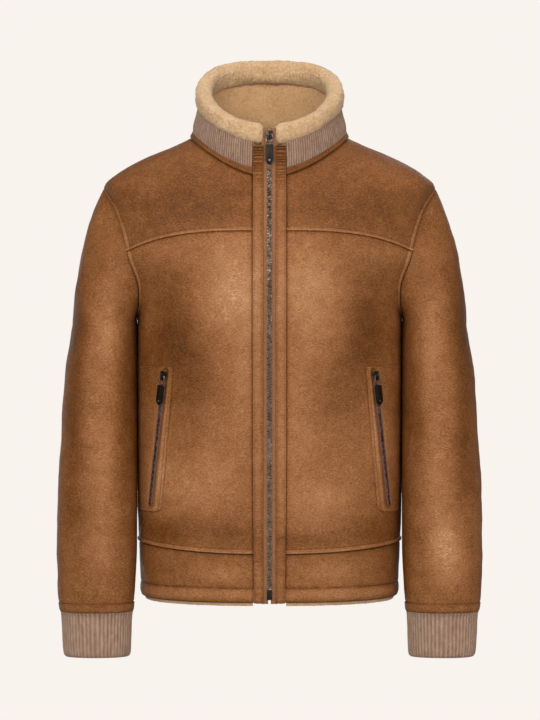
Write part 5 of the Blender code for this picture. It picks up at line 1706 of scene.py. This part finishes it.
# Sliders and pulls
# Each zip has a gunmetal slider with an arched bridge. A wire bail turns in the bridge and holds a
# flat tab, of a dull olive enamel on the pockets, with a rivet near its pointed end.
SLIDER_HALF = 0.0052
SLIDER_LENGTH = 0.0130
PLATE = 0.0018
PULL_AXIS = 0.0033
BAIL_LENGTH = 0.0130
TAB_END = 0.0410
TAB_HALF = 0.0056
TAB_THICK = 0.0016
TAB_TOP_HALF = 0.0046
TAB_CORNER = 0.0016
TAB_POINT = 0.0050
TAB_POINT_HALF = 0.0016
WIRE = 0.00065
RIVET_UP = -0.0352
RIVET = 0.0013
enamel = metal_finish("tab_enamel", [(0.2, (24, 21, 19)), (0.55, (44, 39, 35)), (0.9, (78, 71, 64))], 0.42)


def place_on_zip(height):
    """Angle and level of a place on the front zip."""
    return zero, level_at(zero, np.array(height))


# A place above each pocket slider that gives its direction, as a share of the zip, and its height
POCKET_ABOVE = -0.1
POCKET_SLIDER_FACE = POCKET_ZIP_FACE + SEAM_GAP
FRONT_SLIDER_AT = -0.0060
FRONT_SLIDER_ABOVE = 0.0040
FRONT_SLIDER_FACE = 0.0007
FittingPlace = namedtuple("FittingPlace", "slider pull body frame")
fittings = [
    FittingPlace("zip_slider", "zip_pull", "front_pull",
                 ZipFrame(place_on_zip(FRONT_SLIDER_AT), place_on_zip(FRONT_SLIDER_ABOVE),
                          FRONT_SLIDER_FACE)),
    FittingPlace("pocket_slider_left", "pocket_pull_left", "left_pocket_pull",
                 ZipFrame(pocket_point(0.0, 1), pocket_point(POCKET_ABOVE, 1), POCKET_SLIDER_FACE)),
    FittingPlace("pocket_slider_right", "pocket_pull_right", "right_pocket_pull",
                 ZipFrame(pocket_point(0.0, -1), pocket_point(POCKET_ABOVE, -1), POCKET_SLIDER_FACE)),
]
# Shares of the slider's length up and of its half width across, then out and up along its bridge
SLIDER_OUTLINE = ((0.50, 0.66), (0.44, 0.90), (0.30, 1.0), (0.05, 0.98), (-0.20, 0.82), (-0.44, 0.74),
                  (-0.50, 0.62))
BRIDGE_ARCH = ((0.0046, 0.0014), (0.0043, 0.0034), (0.0033, 0.0050), (0.0016, 0.0056), (-0.0016, 0.0056),
               (-0.0033, 0.0050), (-0.0043, 0.0034), (-0.0046, 0.0014))

for fitting in fittings:
    at = fitting.frame.at
    right = [(wide * SLIDER_HALF, along * SLIDER_LENGTH) for along, wide in SLIDER_OUTLINE]
    outline = right + [(-u, v) for u, v in reversed(right)]
    plate = add_plate("plate", outline[::-1], 0.0, PLATE, at, gunmetal, 0.00045)
    bridge = add_wire("bridge", [at(0.0, v, w) for v, w in BRIDGE_ARCH], 0.00085, gunmetal, closed=False)
    nose = add_plate("nose", [(-0.0016, 0.0030), (0.0016, 0.0030), (0.0020, 0.0058), (-0.0020, 0.0058)],
                     PLATE - 0.0004, PLATE + 0.0010, at, gunmetal, 0.0003)
    piece = join_pieces(fitting.slider + "_made", [plate, bridge, nose])
    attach(piece, "jacket")
    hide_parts(fitting.slider)

    bend = np.linspace(0.0, np.pi, 9)
    top = [(-0.0040 * np.cos(t), 0.0002 + 0.0006 * np.sin(t)) for t in bend]
    low = [(0.0046, -BAIL_LENGTH * 0.6), (0.0048, -BAIL_LENGTH), (0.0030, -BAIL_LENGTH - 0.0012),
           (-0.0030, -BAIL_LENGTH - 0.0012), (-0.0048, -BAIL_LENGTH), (-0.0046, -BAIL_LENGTH * 0.6)]
    bail = add_wire("bail", [at(u, v, PULL_AXIS) for u, v in top + low], WIRE, teeth_metal)
    tab_top = -BAIL_LENGTH - 0.0003
    tab_right = [(TAB_TOP_HALF, tab_top), (TAB_HALF, tab_top - TAB_CORNER),
                 (TAB_HALF, -TAB_END + TAB_POINT), (TAB_POINT_HALF, -TAB_END)]
    tab_left = [(-u, v) for u, v in reversed(tab_right)]
    tab_outline = [tab_left[-1]] + tab_right + tab_left[:-1]
    half = TAB_THICK / 2
    tab = add_plate("tab", tab_outline[::-1], PULL_AXIS - half, PULL_AXIS + half, at, enamel, 0.00035)
    panel = [(u * 0.72, (v + 0.0262) * 0.80 - 0.0250) for u, v in tab_outline]
    face = PULL_AXIS + half
    inset = add_plate("inset", panel[::-1], face - 0.0002, face + 0.00025, at, enamel, 0.00012)
    round_it = np.linspace(0, 2 * np.pi, 17)[:-1]
    ring = [(RIVET * math.cos(a), RIVET_UP + RIVET * math.sin(a)) for a in round_it]
    rivet = add_plate("rivet", ring[::-1], face, face + 0.0006, at, teeth_metal, 0.0002)
    piece = join_pieces(fitting.pull + "_made", [bail, tab, inset, rivet])
    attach(piece, fitting.body)
    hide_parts(fitting.pull)

# Topstitching
# Every lapped edge, the hem, the sleeve bands, the patches and the strips by the zip are sewn down
# with a strong brown thread, in stitches about three millimetres long.
THREAD_PITCH = 0.0036
THREAD_LENGTH = 0.0029
THREAD_RADIUS = 0.00034
THREAD_SIDES = 5
THREAD_SHADES = [(0.2, (72, 42, 24)), (0.5, (104, 64, 38)), (0.8, (134, 90, 58))]
# Share of the stitch's half length, share of its radius and height over the leather
THREAD_RINGS = ((-1.0, 0.45, -0.00030), (-0.62, 1.0, 0.00014), (0.0, 1.0, 0.00022), (0.62, 1.0, 0.00014),
                (1.0, 0.45, -0.00030))


def read_along(spots, gone, line):
    """Points of a line at distances along it."""
    return np.stack([np.interp(spots, gone, line[:, k]) for k in range(3)], axis=-1)


points, ways, aheads = [], [], []
for line, way in seam_lines:
    gone = run_along(line[None], 1)[0][0]
    spots = np.arange(THREAD_PITCH * 0.8, gone[-1] - THREAD_PITCH * 0.5, THREAD_PITCH)
    points.append(read_along(spots, gone, line))
    half = THREAD_LENGTH / 2
    aheads.append(unit(read_along(spots + half, gone, line) - read_along(spots - half, gone, line)))
    ways.append(unit(read_along(spots, gone, way)))
points, ways, aheads = np.concatenate(points), np.concatenate(ways), np.concatenate(aheads)
sideways = unit(np.cross(aheads, ways))
ways = np.cross(sideways, aheads)
turn = 2 * np.pi * np.arange(THREAD_SIDES) / THREAD_SIDES
rings = []
for share, swell, lift in THREAD_RINGS:
    middle = points + aheads * share * THREAD_LENGTH / 2 + ways * lift
    round_it = sideways[:, None] * np.cos(turn)[None, :, None] + ways[:, None] * np.sin(turn)[None, :, None]
    rings.append(middle[:, None] + round_it * THREAD_RADIUS * swell)
rings = np.stack(rings, axis=1)
spots = np.arange(len(THREAD_RINGS) * THREAD_SIDES).reshape(len(THREAD_RINGS), THREAD_SIDES)
pattern = [list(face) for face in cells_of(spots, around=True)] + [list(spots[0][::-1]), list(spots[-1])]
faces = []
for k in range(len(points)):
    faces += [[k * spots.size + spot for spot in face] for face in pattern]
thread = Finish("topstitch_thread", 0.6, specular=0.4)
thread_tone = thread.mottle(0.0012, 2.0)
thread.raise_by(thread_tone, 0.0002, 0.6)
thread = thread.done(thread.shades(thread_tone, THREAD_SHADES))
piece = add_mesh("topstitching", rings, faces, [thread], sharp=80.0)
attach(piece, "jacket")

size = {"cad": cad_box, "visual": [list(corner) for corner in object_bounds()]}
